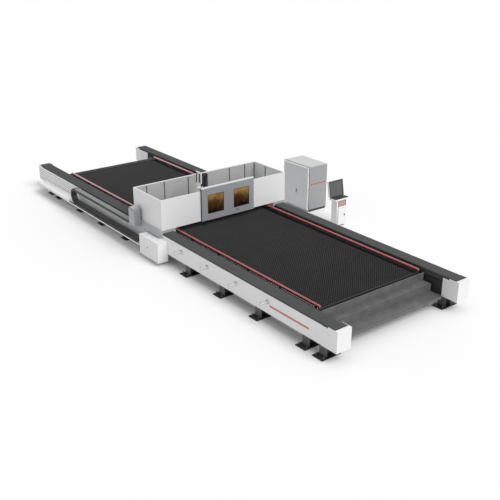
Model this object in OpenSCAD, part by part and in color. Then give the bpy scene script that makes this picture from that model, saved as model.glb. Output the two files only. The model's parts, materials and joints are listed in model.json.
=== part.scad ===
// Laser-flame hybrid cutting machine: two side beams on feet, slatted beds
// between them, and a travelling gantry whose open-topped enclosure holds the
// laser head and the flame torch. A control cabinet and an operator console
// stand beside it. Origin on the floor at the middle of the machine, +X along
// the beams, +Y across them towards the cabinet, +Z up.

/* [Side beams] */
// Half length of a side beam, without its end cap
beam_half = 9500; // [9000:50:9800]
// Distance from the machine's middle to a beam's inner face
beam_in = 2230; // [2230:5:2240]
// Distance from the machine's middle to a beam's outer face
beam_out = 2655; // [2645:5:2660]
// Height of the beams' undersides
beam_z0 = 400; // [360:10:440]
// Height of the beams' tops
beam_z1 = 840; // [820:5:840]
// Length of the sides of the end caps by the console's end
cap_len = 590; // [400:10:620]
// Length of the sides of the end caps at the other end
cap_len_far = 1110; // [600:10:1150]
// Height of the side panels' tops
panel_top = 1000; // [990:2:1004]
// Top of the bellows over the guide rails
bellows_top = 1060; // [1050:2:1070]
// Length of one bellows fold
fold_pitch = 150; // [120:10:200]

/* [Beds] */
// Length of the half bed by the console's end
bed_len = 8170; // [8000:10:8200]
// Length of the half bed at the other end
bed_len_far = 7570; // [7400:10:7600]
// Height of the slats' tops
slat_top = 930; // [910:5:940]
// Distance from slat to slat
slat_pitch = 82; // [76:1:150]
// Radius of the red edge tubes
tube_r = 40; // [34:1:44]
// Height of each step's riser at the ends of the beds
step_rise = 250; // [230:5:255]

/* [Gantry] */
// Half length of a saddle along its beam
saddle_half = 940; // [920:5:960]
// Half width of the enclosure, from wall to wall across the machine
shell_y = 2720; // [2700:5:2740]
// Height of the enclosure's top
shell_top = 2245; // [2200:5:2280]
// Where the carriage stands across the machine
carriage_y = -600; // [-900:10:600]
// Middle of the sliding door across the machine
door_y = 45; // [0:5:100]
// Width of the sliding door
door_w = 2290; // [2250:10:2300]

/* [Drag chain] */
// Height of one chain link
link_h = 110; // [90:5:120]
// Length of one chain link
link_pitch = 130; // [110:5:160]
// Outer radius of the chain's bend
bend_r = 312.5; // [300:2.5:320]

/* [Cabinet and console] */
// Height of the control cabinet
cabinet_h = 1895; // [1700:5:2000]
// Height of the console's desk
desk_z = 1100; // [1050:5:1140]
// Height of the console's screen
screen_h = 660; // [560:10:700]

/* [Hidden] */
$fn = 48;

gap = 0.3;              // running gap between pieces of different bodies
sheet = 5;              // folded sheet of the panels and caps
plate = 20;             // welded plate of the bed troughs
wall = 14;              // wall of the side beams

panel_y = beam_out + 50;                    // outer face of a side panel
cap_x1 = beam_half + 110;                   // outer face of an end cap
cap_top = bellows_top - 15;                 // top of an end cap's raised part
rail_y = (beam_in + beam_out) / 2 + 7.5;    // middle of a guide rail
rail_top = beam_z1 + 85;
foot_xs = [-8440, -7700, -5630, -3720, -1800, 250, 2310, 4260, 6130, 8270, 8970];
foot_w = 410;
anchor_at = [8355, 2760];                   // anchor holes in the feet near the corners
anchor_r = 12;

bay_n = 5;              // extraction bays under one half bed
step_dx = [180, 495, 925];                  // risers, from the bed's end outwards
step_top = slat_top + 20;
step_drop = 105;        // skirt under the lowest tread
tube_y = 2040;
tube_z = 1015;

saddle_top = 1155;
saddle_y0 = 2170;
saddle_y1 = 2800;
wall_t = 40;            // double-skinned enclosure wall
shell_x = saddle_half;
truck_z = beam_z1 + 145;

chain_y0 = -3050;       // outer side of the drag chain
chain_y1 = -2810;
tray_x0 = -8900;        // far end of the tray
tray_z = 470;           // floor on which the lower run lies
bend_z = tray_z + bend_r + gap;
bend_x = -5350;
chain_end = -260;       // fixed end of the lower run
bracket_x = -770;       // moving end of the upper run

damper_x = 2120;
damper_pitch = 1533;
damper_z = 780;

beam_x0 = -330;         // cross beam of the gantry
beam_x1 = 150;
cross_z0 = 1240;
cross_z1 = 1690;
cross_rails = [1330, 1610];
door_x = 955;           // back of the sliding door
door_z0 = 1145;
door_z1 = 2365;
window = [690, 690];
window_z = 1385;
window_off = 567;       // from the windows' middle to each window's middle
window_mid = 20;        // windows' middle from the door's middle

cab = [-1345, 4655, 190, 5600];             // x0, y0, x1, y1 of the cabinet
con = [1790, 4400, 2130, 4835];             // x0, y0, x1, y1 of the pedestal
deck = [1772, 4265, 2160, 5035];            // x0, y0, x1, y1 of the desk
screen_y = [4262, 4977];
tilt_x = 1790;          // axis of the screen's tilt
tilt_z = desk_z + 17;
lean = 10;              // lean of the screen at rest, in degrees

// ---------- shared shapes ----------

module block(x, y, z) {
    translate([x[0], y[0], z[0]]) cube([x[1] - x[0], y[1] - y[0], z[1] - z[0]]);
}

// Extrudes an outline drawn in Y and Z along X, from x0 to x1
module along_x(x0, x1) {
    translate([x0, 0, 0]) rotate([90, 0, 90]) linear_extrude(height = x1 - x0) children();
}

// Extrudes an outline drawn in X and Z along Y, from y0 to y1
module along_y(y0, y1) {
    translate([0, y1, 0]) rotate([90, 0, 0]) linear_extrude(height = y1 - y0) children();
}

module rect(x, y) {
    translate([x[0], y[0]]) square([x[1] - x[0], y[1] - y[0]]);
}

module left() {
    mirror([0, 1, 0]) children();
}

module far() {
    mirror([1, 0, 0]) children();
}

module both_ends() {
    children();
    far() children();
}

module both_sides() {
    children();
    left() children();
}

module rod(p0, length, r, axis) {
    turn = axis == "x" ? [0, 90, 0] : axis == "y" ? [-90, 0, 0] : [0, 0, 0];
    translate(p0) rotate(turn) cylinder(h = length, r = r);
}

// ---------- side beams ----------

module beam_section() {
    difference() {
        rect([beam_in, beam_out], [beam_z0, beam_z1]);
        rect([beam_in + wall, beam_out - wall], [beam_z0 + wall, beam_z1 - wall]);
    }
}

module side_beam() {
    color("#2e2f30") along_x(-beam_half, beam_half) beam_section();
}

module damper_holes() {
    for (i = [0 : 3])
        rod([damper_x + i * damper_pitch, -panel_y - 1, damper_z], 80, 14, "y");
}

module beam_left() {
    difference() {
        left() side_beam();
        damper_holes();
    }
}

module beam_right() {
    side_beam();
}

// Folded panel: face, bottom return under the beam, top return and a rib
module panel_section() {
    union() {
        rect([panel_y - sheet, panel_y], [beam_z0, panel_top]);
        rect([beam_out, panel_y], [beam_z0, beam_z0 + sheet]);
        rect([beam_out, panel_y], [beam_z1 - sheet, beam_z1]);
        rect([panel_y - 30, panel_y], [panel_top - sheet, panel_top]);
    }
}

module side_panel() {
    color("#e9e9ea") along_x(cap_len_far - cap_x1 + 5, cap_x1 - cap_len - 5) panel_section();
}

module side_panel_left() {
    difference() {
        left() side_panel();
        damper_holes();
    }
}

module side_panel_right() {
    side_panel();
}

module panel_stripe() {
    color("#b5323e") block([6800, 8500], [-panel_y - 3, -panel_y], [645, 700]);
}

// Folded box round the beam's end; its top is open for the bellows
module end_cap(len) {
    inner = beam_in - 25;
    x0 = cap_x1 - len;
    x1 = cap_x1 - 360;
    union() {
        block([x0, cap_x1], [panel_y - sheet, panel_y + sheet], [beam_z0 - sheet, panel_top]);
        block([x1, cap_x1], [panel_y - sheet + 1, panel_y + sheet], [panel_top - 1, cap_top]);
        block([x0, cap_x1], [inner - 10, inner], [beam_z0 - sheet, panel_top]);
        block([x1, cap_x1], [inner - 10, inner - 1], [panel_top - 1, cap_top]);
        block([cap_x1 - 10, cap_x1], [inner - 10, panel_y + sheet], [beam_z0 - sheet, cap_top]);
        block([beam_half, beam_half + 10], [inner - 5, panel_y - sheet + 2], [beam_z0, cap_top]);
        block([beam_half, cap_x1], [inner - 5, panel_y + sheet], [cap_top - 10, cap_top]);
    }
}

module end_caps() {
    color("#f4f4f5") both_sides() {
        end_cap(cap_len);
        far() end_cap(cap_len_far);
    }
}

// Profiled guide rail on its seat, with the drive rack beside it
module guide_rail_section() {
    union() {
        rect([rail_y - 50, rail_y + 50], [beam_z1, beam_z1 + 30]);
        difference() {
            rect([rail_y - 30, rail_y + 30], [beam_z1 + 29, rail_top]);
            for (s = [-1, 1]) translate([rail_y + s * 34, beam_z1 + 62]) circle(r = 11);
        }
        rect([rail_y + 49, rail_y + 130], [beam_z1, beam_z1 + 10]);
        rect([rail_y + 95, rail_y + 130], [beam_z1, beam_z1 + 50]);
    }
}

module guide_rail_right() {
    color("#8b8e91") along_x(-9400, 9400) guide_rail_section();
}

module guide_rail_left() {
    left() guide_rail_right();
}

// ---------- feet ----------

module foot_section() {
    union() {
        rect([-150, 150], [2300, 2320]);
        rect([-150, 150], [2570, 2590]);
        rect([-10, 10], [2310, 2580]);
    }
}

// The feet that stand at an anchor have its hole
module foot(x) {
    hole = sign(x) * anchor_at[0] - x;
    translate([x, 0, 0]) difference() {
        union() {
            block([-foot_w / 2, foot_w / 2], [2105, 2805], [0, 25]);
            translate([0, 0, 24]) linear_extrude(height = beam_z0 - 24) foot_section();
            for (s = [-1, 1]) {
                rod([s * 150, 2690, 20], 75, 14, "z");
                rod([s * 150, 2690, 20], 27, 26, "z", $fn = 6);
                rod([s * 150, 2200, 20], 75, 14, "z");
                rod([s * 150, 2200, 20], 27, 26, "z", $fn = 6);
            }
        }
        if (abs(hole) < foot_w / 2) rod([hole, anchor_at[1], -1], 60, anchor_r, "z");
    }
}

// All feet under one beam; a brace plate joins the last two beside the steps
module legs_right() {
    n = len(foot_xs);
    color("#3a3b3d") union() {
        for (x = foot_xs) foot(x);
        block([foot_xs[n - 2], foot_xs[n - 1]], [2300, 2320], [250, beam_z0]);
    }
}

module legs_left() {
    left() legs_right();
}

// ---------- bellows over the guide rails ----------

function fold_z(i) = i % 2 == 0 ? bellows_top : bellows_top - 45;

module bellows() {
    x0 = saddle_half + gap;
    n = 2 * round((beam_half - x0) / fold_pitch);
    step = (beam_half - x0) / n;
    skin = 9;
    top = [for (i = [0 : n]) [x0 + i * step, fold_z(i)]];
    under = [for (i = [n : -1 : 0]) [x0 + i * step, fold_z(i) - skin]];
    color("#4a4b4b") union() {
        along_y(beam_in + 10, panel_y - 5) polygon(concat(top, under));
        block([x0, beam_half], [beam_in + 10, beam_in + 20], [beam_z1 + 20, bellows_top - 50]);
        block([x0, beam_half], [panel_y - 15, panel_y - 5], [panel_top, bellows_top - 50]);
    }
}

module bellows_near_right() {
    bellows();
}

module bellows_near_left() {
    left() bellows();
}

module bellows_far_right() {
    far() bellows();
}

module bellows_far_left() {
    far() left() bellows();
}

// ---------- beds ----------

module tube_seat(x) {
    difference() {
        union() {
            block([x, x + 60], [tube_y - 30, 2100], [904, 915]);
            block([x, x + 60], [tube_y - 30, tube_y + 30], [914, tube_z - 12]);
        }
        rod([x - 1, tube_y, tube_z], 62, tube_r, "x");
    }
}

// Welded trough under half a bed, with a wall between extraction bays
module bed_frame(len, leg_xs) {
    z0 = 400;
    bay = (len - 5) / bay_n;
    color("#303132") union() {
        block([5, len], [-2100, 2100], [z0, z0 + 10]);
        both_sides() block([5, len], [2100 - plate, 2100], [z0, 905]);
        block([5, 5 + plate], [-2100, 2100], [z0, 905]);
        block([len - plate, len], [-2100, 2100], [z0, slat_top - 5]);
        for (y = [-2060, -6, 2048])
            block([len - 1, len + step_dx[0] - 8], [y, y + 12], [450, 880]);
        for (i = [1 : bay_n - 1])
            block([5 + i * bay - plate / 2, 5 + i * bay + plate / 2], [-2090, 2090], [z0, 795]);
        both_sides() for (x = leg_xs) {
            block([x - 60, x + 60], [1840, 1960], [10, z0 + 1]);
            block([x - 120, x + 120], [1780, 2020], [0, 12]);
        }
        both_sides() for (i = [0 : 5]) tube_seat(200 + i * (len - 370) / 5);
    }
}

// Slats standing across the bed, seated in notched carrier bars
module slats(len) {
    slat_t = 8;
    color("#2d2c2d") union() {
        for (y = [-1900, 0, 1900])
            block([5 + plate, len - plate], [y - 20, y + 20], [795, slat_top - 98]);
        for (x = [70 : slat_pitch : len - 40])
            block([x, x + slat_t], [-1950, 1950], [slat_top - 100, slat_top]);
    }
}

module bed_frame_near() {
    bed_frame(bed_len, [320, 2900, 5480, bed_len - 370]);
}

module bed_frame_far() {
    far() bed_frame(bed_len_far, [320, 2623, 4927, bed_len_far - 340]);
}

module slats_near() {
    slats(bed_len);
}

module slats_far() {
    far() slats(bed_len_far);
}

module edge_tube(len) {
    difference() {
        rod([30, tube_y, tube_z], len, tube_r, "x");
        rod([29, tube_y, tube_z], len + 2, tube_r - 6, "x");
    }
}

module edge_tubes() {
    color("#b5323e") both_sides() {
        edge_tube(bed_len);
        far() edge_tube(bed_len_far);
    }
}

// ---------- steps ----------

// Corners of the folded treads from the riser at x outwards, inset by d
function tread_line(x, d) = concat([for (i = [0 : 2]) each [
    [x + step_dx[i] - d, step_top - i * step_rise - d],
    [x + step_dx[i] - d, step_top - (i < 2 ? (i + 1) * step_rise + d : 2 * step_rise + step_drop)]
]]);

module steps(end) {
    t = 8;
    x0 = end + step_dx[0];
    x1 = end + step_dx[2];
    sheet_out = concat([[x0 - 30, step_top]], tread_line(end, 0));
    sheet_in = concat([[x0 - 30, step_top - t]], tread_line(end, t));
    under = step_top - 2 * step_rise - step_drop;
    color("#6c6d6f") union() {
        along_y(-2120, 2120)
            polygon(concat(sheet_out, [for (i = [len(sheet_in) - 1 : -1 : 0]) sheet_in[i]]));
        for (y = [-2120, -4, 2112])
            along_y(y, y + 8) polygon(concat(tread_line(end, 0), [[x0 - 8, under], [x0 - 8, step_top]]));
        for (y = [-2090, -30, 2030]) {
            block([x0 - 8, x0 + 72], [y, y + 60], [0, step_top - step_rise - 7]);
            block([x0 - 8, x1 - 4], [y, y + 60], [under, under + 40]);
        }
    }
}

module steps_near() {
    steps(bed_len);
}

module steps_far() {
    far() steps(bed_len_far);
}

// ---------- drag chain of the long axis ----------

module cable_tray() {
    y = [-3125, -panel_y - 7];
    color("#f1f1f2") union() {
        block([tray_x0, 0], y, [tray_z - 5, tray_z]);
        block([tray_x0, 0], [y[0], y[0] + 5], [tray_z - 40, tray_z + 60]);
        block([tray_x0, 0], [y[1] - 5, y[1]], [tray_z - 5, tray_z + 60]);
        for (x = [-8400 : 1400 : -1000])
            block([x, x + 50], [y[0] + 4, -panel_y], [tray_z - 40, tray_z - 4]);
    }
}

module junction_box() {
    color("#ededee") union() {
        block([0, 1240], [-3100, -panel_y], [140, 865]);
        block([30, 1210], [-3106, -3099], [175, 830]);
        rod([546, -3112, 525], 12, 14, "y");
    }
}

// One straight run of chain: links with a groove between each and the next
module chain_run(x0, x1, z) {
    n = round((x1 - x0) / link_pitch);
    p = (x1 - x0) / n;
    g = 6;
    function edge(zz, dz, fwd) = [
        for (i = fwd ? [0 : n - 1] : [n - 1 : -1 : 0]) each (fwd
            ? [[x0 + i * p, zz + dz], [x0 + i * p + g, zz], [x0 + (i + 1) * p - g, zz], [x0 + (i + 1) * p, zz + dz]]
            : [[x0 + (i + 1) * p, zz + dz], [x0 + (i + 1) * p - g, zz], [x0 + i * p + g, zz], [x0 + i * p, zz + dz]])
    ];
    color("#3c3d3e") along_y(chain_y0, chain_y1)
        polygon(concat(edge(z, g, true), edge(z + link_h, -g, false)));
}

module chain_lower() {
    chain_run(bend_x, chain_end, tray_z);
}

module chain_upper() {
    chain_run(bend_x + gap, bracket_x, tray_z + 2 * bend_r - link_h);
}

module chain_bend() {
    links = 7;
    color("#3c3d3e") translate([bend_x - gap, 0, bend_z]) difference() {
        along_y(chain_y0, chain_y1) difference() {
            circle(r = bend_r, $fn = 96);
            circle(r = bend_r - link_h, $fn = 96);
            translate([0, -bend_r - 1]) square(2 * bend_r + 2);
        }
        for (i = [1 : links - 1]) rotate([0, 90 - i * 180 / links, 0])
            block([-bend_r - 1, -bend_r + 7], [chain_y0 - 1, chain_y1 + 1], [-6, 6]);
    }
}

// Upright for the chain's moving end, on the saddle's skirt
module chain_bracket() {
    x1 = bracket_x + 400;
    z = [990, 1645];
    color("#a9abae") union() {
        along_y(chain_y0, -saddle_y1) polygon([
            [bracket_x, z[0]], [x1, z[0]], [x1, z[1] - 60], [x1 - 60, z[1]],
            [bracket_x + 60, z[1]], [bracket_x, z[1] - 60]
        ]);
        block([bracket_x + 120, x1 - 120], [-saddle_y1 - 1, -shell_y], [1480, 1560]);
    }
}

// ---------- dust damper cylinders ----------

module damper_barrels() {
    color("#9da0a3") for (i = [0 : 3]) translate([damper_x + i * damper_pitch, 0, damper_z]) difference() {
        union() {
            block([-65, 65], [-panel_y - 12, -panel_y], [-65, 65]);
            rod([0, -2990, 0], 275, 32, "y");
            rod([0, -2990, 0], 24, 38, "y");
            rod([0, -2760, 0], 24, 38, "y");
        }
        rod([0, -2980, 0], 258, 26, "y");
        rod([0, -2730, 0], 40, 14, "y");
    }
}

// Piston, rod and valve disc of one damper
module damper_valve(i) {
    color("#c2c4c6") translate([damper_x + i * damper_pitch, 0, damper_z]) union() {
        rod([0, -2975, 0], 25, 25.9, "y");
        rod([0, -2960, 0], 372, 12, "y");
        rod([0, -2600, 0], 12, 40, "y");
    }
}

// ---------- gantry ----------

module runner_section() {
    difference() {
        rect([rail_y - 62, rail_y + 62], [beam_z1 + 34, truck_z + 1]);
        rect([rail_y - 31, rail_y + 31], [beam_z1 + 33, rail_top + 1]);
    }
}

// Saddle on one beam: truck with two runners under a folded cover
module saddle() {
    s = saddle_half;
    color("#a9abae") union() {
        block([-900, 900], [rail_y - 160, rail_y + 160], [truck_z, saddle_top]);
        for (x = [-780, 540]) along_x(x, x + 240) runner_section();
        block([-s, s], [saddle_y0, saddle_y1], [saddle_top - 10, saddle_top]);
        block([-s, s], [saddle_y1 - 10, saddle_y1], [saddle_top - 240, saddle_top]);
        block([-s, s], [saddle_y0, saddle_y0 + 10], [960, saddle_top]);
        for (x = [-s, s - 10]) {
            block([x, x + 10], [saddle_y0, saddle_y1], [panel_top + 8, saddle_top]);
            block([x, x + 10], [beam_in + 10, panel_y - 40], [rail_top + 12, saddle_top]);
        }
    }
}

module saddle_right() {
    saddle();
}

module saddle_left() {
    left() saddle();
}

// Box beam across the machine with its two guide rails and end feet
module gantry_beam() {
    ch = 40;
    w = 16;
    half = 2600;
    function ring(d) = [
        [beam_x0 + d, cross_z0 + ch], [beam_x0 + ch, cross_z0 + d], [beam_x1 - d, cross_z0 + d],
        [beam_x1 - d, cross_z1 - d], [beam_x0 + ch, cross_z1 - d], [beam_x0 + d, cross_z1 - ch]
    ];
    color("#dcdddf") union() {
        along_y(-half, half) difference() {
            polygon(ring(0));
            polygon(ring(w));
        }
        both_sides() block([beam_x0 + 40, beam_x1], [2300, half], [saddle_top, cross_z0 + 1]);
        for (z = cross_rails) block([beam_x1 - 1, beam_x1 + 26], [-2350, 2350], [z - 17, z + 17]);
        block([beam_x1 - 1, beam_x1 + 18], [-2350, 2350], [1450, 1480]);
    }
}

module x_drives() {
    color("#2b2c2e") both_sides() translate([520, 2450, saddle_top]) union() {
        block([-90, 90], [-90, 90], [0, 110]);
        rod([0, 0, 109], 210, 68, "z");
        rod([0, 0, 318], 60, 52, "z");
    }
}

// Four-walled enclosure, open above and below, with a doorway in front
module enclosure_shell() {
    x1 = shell_x;
    z = [saddle_top, shell_top];
    color("#f2f2f3") union() {
        block([-x1, -x1 + wall_t], [-shell_y, shell_y], z);
        both_sides() block([-x1, x1], [shell_y - wall_t, shell_y], z);
        difference() {
            block([x1 - wall_t, x1], [-shell_y, shell_y], z);
            block([x1 - wall_t - 1, x1 + 1], [door_y - 1045, door_y + 1045], [saddle_top + 40, shell_top - 60]);
        }
        both_sides() {
            for (y = [430, 1460, 2200])
                block([-x1 + wall_t - 1, -x1 + wall_t + 25], [y - 15, y + 15], z);
            block([-200, -170], [shell_y - wall_t - 25, shell_y - wall_t + 1], z);
            block([-x1 + wall_t - 1, -x1 + wall_t + 30], [shell_y - wall_t - 30, shell_y - wall_t + 1], z);
            block([x1 - wall_t - 30, x1 - wall_t + 1], [shell_y - wall_t - 30, shell_y - wall_t + 1], z);
        }
    }
}

module window_places() {
    for (s = [-1, 1]) translate([0, door_y + window_mid + s * window_off, window_z]) children();
}

// Folded door that hangs over the wall's top edge on two glides
module door_panel() {
    y = [door_y - door_w / 2, door_y + door_w / 2];
    front = door_x + 45;
    color("#8e9194") union() {
        difference() {
            block([door_x, front], y, [door_z0, door_z1]);
            block([door_x - 1, front - 6], [y[0] + 12, y[1] - 12], [door_z0 + 12, door_z1 - 12]);
            window_places() block([door_x, front + 1], [-window[0] / 2, window[0] / 2], [0, window[1]]);
        }
        block([880, front], y, [door_z1 - 15, door_z1]);
        block([880, 890], y, [door_z1 - 80, door_z1]);
        for (s = [-1, 1])
            block([900, 938], [door_y + s * 900 - 60, door_y + s * 900 + 60], [shell_top + gap, door_z1 - 14]);
        translate([front - 1, door_y + 405, 1300]) rod([0, 0, 0], 24, 22, "x");
    }
}

module door_windows() {
    front = door_x + 39;
    m = 20;
    color("#7a5326") window_places()
        block([front - 6, front], [-window[0] / 2 - m, window[0] / 2 + m], [-m, window[1] + m]);
}

// ---------- carriage, laser head and torch ----------

module carriage_plate() {
    color("#c9cbcd") translate([0, carriage_y, 0]) union() {
        block([186, 210], [-330, 330], [1270, 1700]);
        for (y = [-290, 130], z = cross_rails) difference() {
            block([160, 187], [y, y + 160], [z - 46, z + 46]);
            block([159, 177], [y - 1, y + 161], [z - 18, z + 18]);
        }
        block([140, 210], [-40, 0], [1699, 1910]);
        block([40, 141], [-40, 0], [1865, 1910]);
        block([186, 298], [110, 210], [1690, 1890]);
        block([209, 300], [120, 270], [1300, 1690]);
    }
}

// Housing of the laser's vertical axis with guard slots, and the open frame
// above it that stands beside the hose arch
module head_column() {
    x = [210, 400];
    y = [carriage_y - 200, carriage_y - 10];
    fx = [40, 366];
    fy = [carriage_y - 98, carriage_y - 58];
    color("#f2f2f3") union() {
        difference() {
            block(x, y, [1330, 2180]);
            for (s = [0, 1])
                block([x[1] - 20, x[1] + 1], [y[0] + 20 + s * 120, y[0] + 50 + s * 120], [1900, 2150]);
        }
        block(fx, fy, [2179, 2300]);
        block([119, 181], fy, [2299, 2686]);
        block([fx[1] - 30, fx[1]], fy, [2299, 2686]);
        block(fx, fy, [2685, 2710]);
        block([fx[1] - 30, fx[1]], [fy[0], carriage_y + 180], [2685, 2710]);
        block([fx[1] - 20, fx[1]], [carriage_y + 160, carriage_y + 180], [2450, 2686]);
    }
}

// Arched chain that brings the hoses up from the carriage to the housing
module hose_chain() {
    y0 = carriage_y + 80;
    z0 = 2545;
    r = 130;
    t = 100;
    color("#1f2021") union() {
        translate([170, 0, 0]) rotate([90, 0, 90]) linear_extrude(height = 175) union() {
            difference() {
                translate([y0, z0]) circle(r = r, $fn = 64);
                translate([y0, z0]) circle(r = r - t, $fn = 64);
                translate([y0 - 2 * r, z0 - 2 * r]) square([4 * r, 2 * r]);
            }
            rect([y0 - r, y0 - r + t], [2180, z0 + 1]);
            rect([y0 + r - t, y0 + r], [1890, z0 + 1]);
        }
        rod([60, carriage_y - 78, 2300], 385, 20, "z");
    }
}

module laser_head() {
    y = carriage_y - 105;
    color("#b9bcc0") union() {
        block([400 + gap, 430], [y - 75, y + 75], [1300, 1860]);
        block([429, 500], [y - 60, y + 60], [1420, 1640]);
        translate([520, y, 0]) rotate_extrude() polygon([
            [0, 1020], [9, 1020], [14, 1050], [34, 1062], [34, 1110], [48, 1130], [60, 1220],
            [60, 1600], [46, 1620], [46, 1720], [22, 1730], [22, 1800], [0, 1800]
        ]);
    }
}

module torch() {
    y = carriage_y + 195;
    color("#b08d4c") union() {
        block([300 + gap, 320], [y - 50, y + 50], [1320, 1680]);
        block([319, 350], [y - 30, y + 30], [1450, 1560]);
        translate([362, y, 0]) rotate_extrude() polygon([
            [0, 1020], [8, 1020], [16, 1070], [16, 1100], [24, 1110], [24, 1160], [16, 1170],
            [16, 1640], [26, 1650], [26, 1740], [12, 1750], [12, 1790], [0, 1790]
        ]);
    }
}

// ---------- drag chain of the cross axis ----------

cross_bend_y = 650;
cross_r = 110;
cross_h = 45;

module cross_run(y0, y1, z) {
    n = round((y1 - y0) / 60);
    p = (y1 - y0) / n;
    color("#2a2b2c") union() {
        block([30, 130], [y0, y1], [z + 3, z + cross_h - 3]);
        for (i = [0 : n - 1]) block([30, 130], [y0 + i * p + 4, y0 + (i + 1) * p - 4], [z, z + cross_h]);
    }
}

module cross_chain_lower() {
    cross_run(0, cross_bend_y, cross_z1);
}

module cross_chain_upper() {
    cross_run(carriage_y, cross_bend_y - gap, cross_z1 + 2 * cross_r - cross_h);
}

module cross_chain_bend() {
    color("#2a2b2c") along_x(30, 130) translate([cross_bend_y + gap, cross_z1 + cross_r]) difference() {
        circle(r = cross_r, $fn = 64);
        circle(r = cross_r - cross_h, $fn = 64);
        translate([-2 * cross_r, -2 * cross_r]) square([2 * cross_r, 4 * cross_r]);
    }
}

// ---------- hinges ----------

// Part of a hinge on the swinging piece: barrels of radius r, bored for the pins
module leaf_barrels(p, zs, r) {
    for (z = zs) difference() {
        rod([p[0], p[1], z], 50, r, "z");
        rod([p[0], p[1], z - 1], 52, r / 2 + gap, "z");
    }
}

// Fixed part: a barrel under each of the others, with its pin and a strap
module fixed_barrels(p, zs, r, strap_x, strap_y) {
    for (z = zs) {
        rod([p[0], p[1], z - 40], 40 - gap, r, "z");
        rod([p[0], p[1], z - 2], 48, r / 2, "z");
        block(strap_x, strap_y, [z - 38, z - 3]);
    }
}

// Room in the swinging piece for the barrels, towards +X when s is 1
module barrel_room(p, zs, r, s) {
    for (z = zs) {
        translate([p[0], p[1], 0]) block(s > 0 ? [-1, r + 2] : [-r - 2, 1], [-1, r + 2], [z - 41, z + 0.4]);
        rod([p[0], p[1], z - 1], 52, r / 2 + gap, "z");
    }
}

// ---------- control cabinet ----------

cab_mid = (cab[0] + cab[2]) / 2;
door_y0 = cab[1] - 50;
leaf_zs = [300, 950, 1600];
leaf_pins = [[cab[0] + 3, door_y0], [cab[2] - 3, door_y0]];
handle_z = 815;
handle_r = 14;

module cabinet_body() {
    t = 15;
    color("#c9cacc") union() {
        difference() {
            block([cab[0], cab[2]], [cab[1], cab[3]], [90, cabinet_h]);
            block([cab[0] + t, cab[2] - t], [cab[1] - 1, cab[3] - t], [90 + t, cabinet_h - t]);
        }
        block([cab[0] + 60, cab[2] - 60], [cab[3] - 90, cab[3] - 80], [200, 1780]);
        for (x = [cab[0] + 100, cab[2] - 130], z = [300, 1650])
            block([x, x + 30], [cab[3] - 81, cab[3] - t + 1], [z, z + 30]);
        fixed_barrels(leaf_pins[0], leaf_zs, 10, [cab[0] - 8, cab[0] + 1], [door_y0, cab[1] + 60]);
        fixed_barrels(leaf_pins[1], leaf_zs, 10, [cab[2] - 1, cab[2] + 8], [door_y0, cab[1] + 60]);
    }
}

module cabinet_plinth() {
    color("#2b2c2e") difference() {
        block([cab[0] + 30, cab[2] - 10], [cab[1] + 30, cab[3] - 30], [0, 90]);
        block([cab[0] + 45, cab[2] - 25], [cab[1] + 45, cab[3] - 45], [-1, 91]);
    }
}

// Folded door pan with its rim turned towards the cabinet
module cabinet_leaf(x, pin, s) {
    y = [door_y0, cab[1] - 3];
    z = [95, cabinet_h - 5];
    color("#a9aaac") union() {
        difference() {
            block(x, y, z);
            block([x[0] + 15, x[1] - 15], [y[0] + 4, y[1] + 1], [z[0] + 15, z[1] - 15]);
            barrel_room(pin, leaf_zs, 10, s);
        }
        leaf_barrels(pin, leaf_zs, 10);
    }
}

module cabinet_door_left() {
    cabinet_leaf([cab[0] + 3, cab_mid - 2], leaf_pins[0], 1);
}

module cabinet_door_right() {
    difference() {
        cabinet_leaf([cab_mid + 2, cab[2] - 3], leaf_pins[1], -1);
        rod([cab_mid + 35, door_y0 - 1, handle_z], 10, handle_r, "y");
    }
}

module cabinet_handle() {
    color("#3b3c3e") union() {
        rod([cab_mid + 35, door_y0 - 14, handle_z], 24, handle_r - gap, "y");
        block([cab_mid + 22, cab_mid + 48], [door_y0 - 18, door_y0 - 6], [handle_z - 135, handle_z]);
    }
}

module cabinet_stripe() {
    x = [cab[2], cab[2] + 3];
    color("#b5323e") union() {
        block(x, [cab[1] + 60, cab[3] - 90], [1138, 1174]);
        block(x, [cab[1] + 60, cab[1] + 130], [1118, 1175]);
        block(x, [cab[3] - 160, cab[3] - 90], [1137, 1194]);
    }
}

// ---------- operator console ----------

panel_z = [835, 1055];  // red-framed panel over the service door
service_pin = [con[2] + 20, con[1] + 10];
service_zs = [160, 700];

module console_body() {
    t = 12;
    color("#ececed") union() {
        difference() {
            block([con[0], con[2]], [con[1], con[3]], [60, desk_z - 40]);
            block([con[0] + t, con[2] + 1], [con[1] + t, con[3] - t], [60 + t, 820]);
        }
        fixed_barrels(service_pin, service_zs, 7, [con[2] - 1, con[2] + 20], [con[1], con[1] + 7]);
    }
}

module console_feet() {
    color("#222325") for (x = [con[0] + 50, con[2] - 50], y = [con[1] + 50, con[3] - 50]) union() {
        rod([x, y, 0], 16, 32, "z");
        rod([x, y, 15], 45, 11, "z");
    }
}

// Desk top with lugs for the screen, and the red-framed panel below it
module console_deck() {
    px = con[2];
    z = [desk_z - 40, desk_z];
    color("#dcdddf") union() {
        along_y(deck[1], deck[3]) polygon([
            [deck[0], z[0]], [deck[2] - 40, z[0]], [deck[2], z[0] + 15], [deck[2], z[1] - 12],
            [deck[2] - 12, z[1]], [deck[0], z[1]]
        ]);
        for (y = [4450, 4910]) difference() {
            union() {
                block([tilt_x - 18, tilt_x + 18], [y, y + 40], [desk_z - 1, tilt_z]);
                rod([tilt_x, y, tilt_z], 40, 18, "y");
            }
            rod([tilt_x, y - 1, tilt_z], 42, 10.2, "y");
        }
        difference() {
            block([px, px + 16], [con[1] + 5, con[3] - 5], panel_z);
            block([px + 10, px + 17], [con[1] + 25, con[3] - 25], [panel_z[0] + 22, panel_z[1] - 22]);
        }
    }
}

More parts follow.
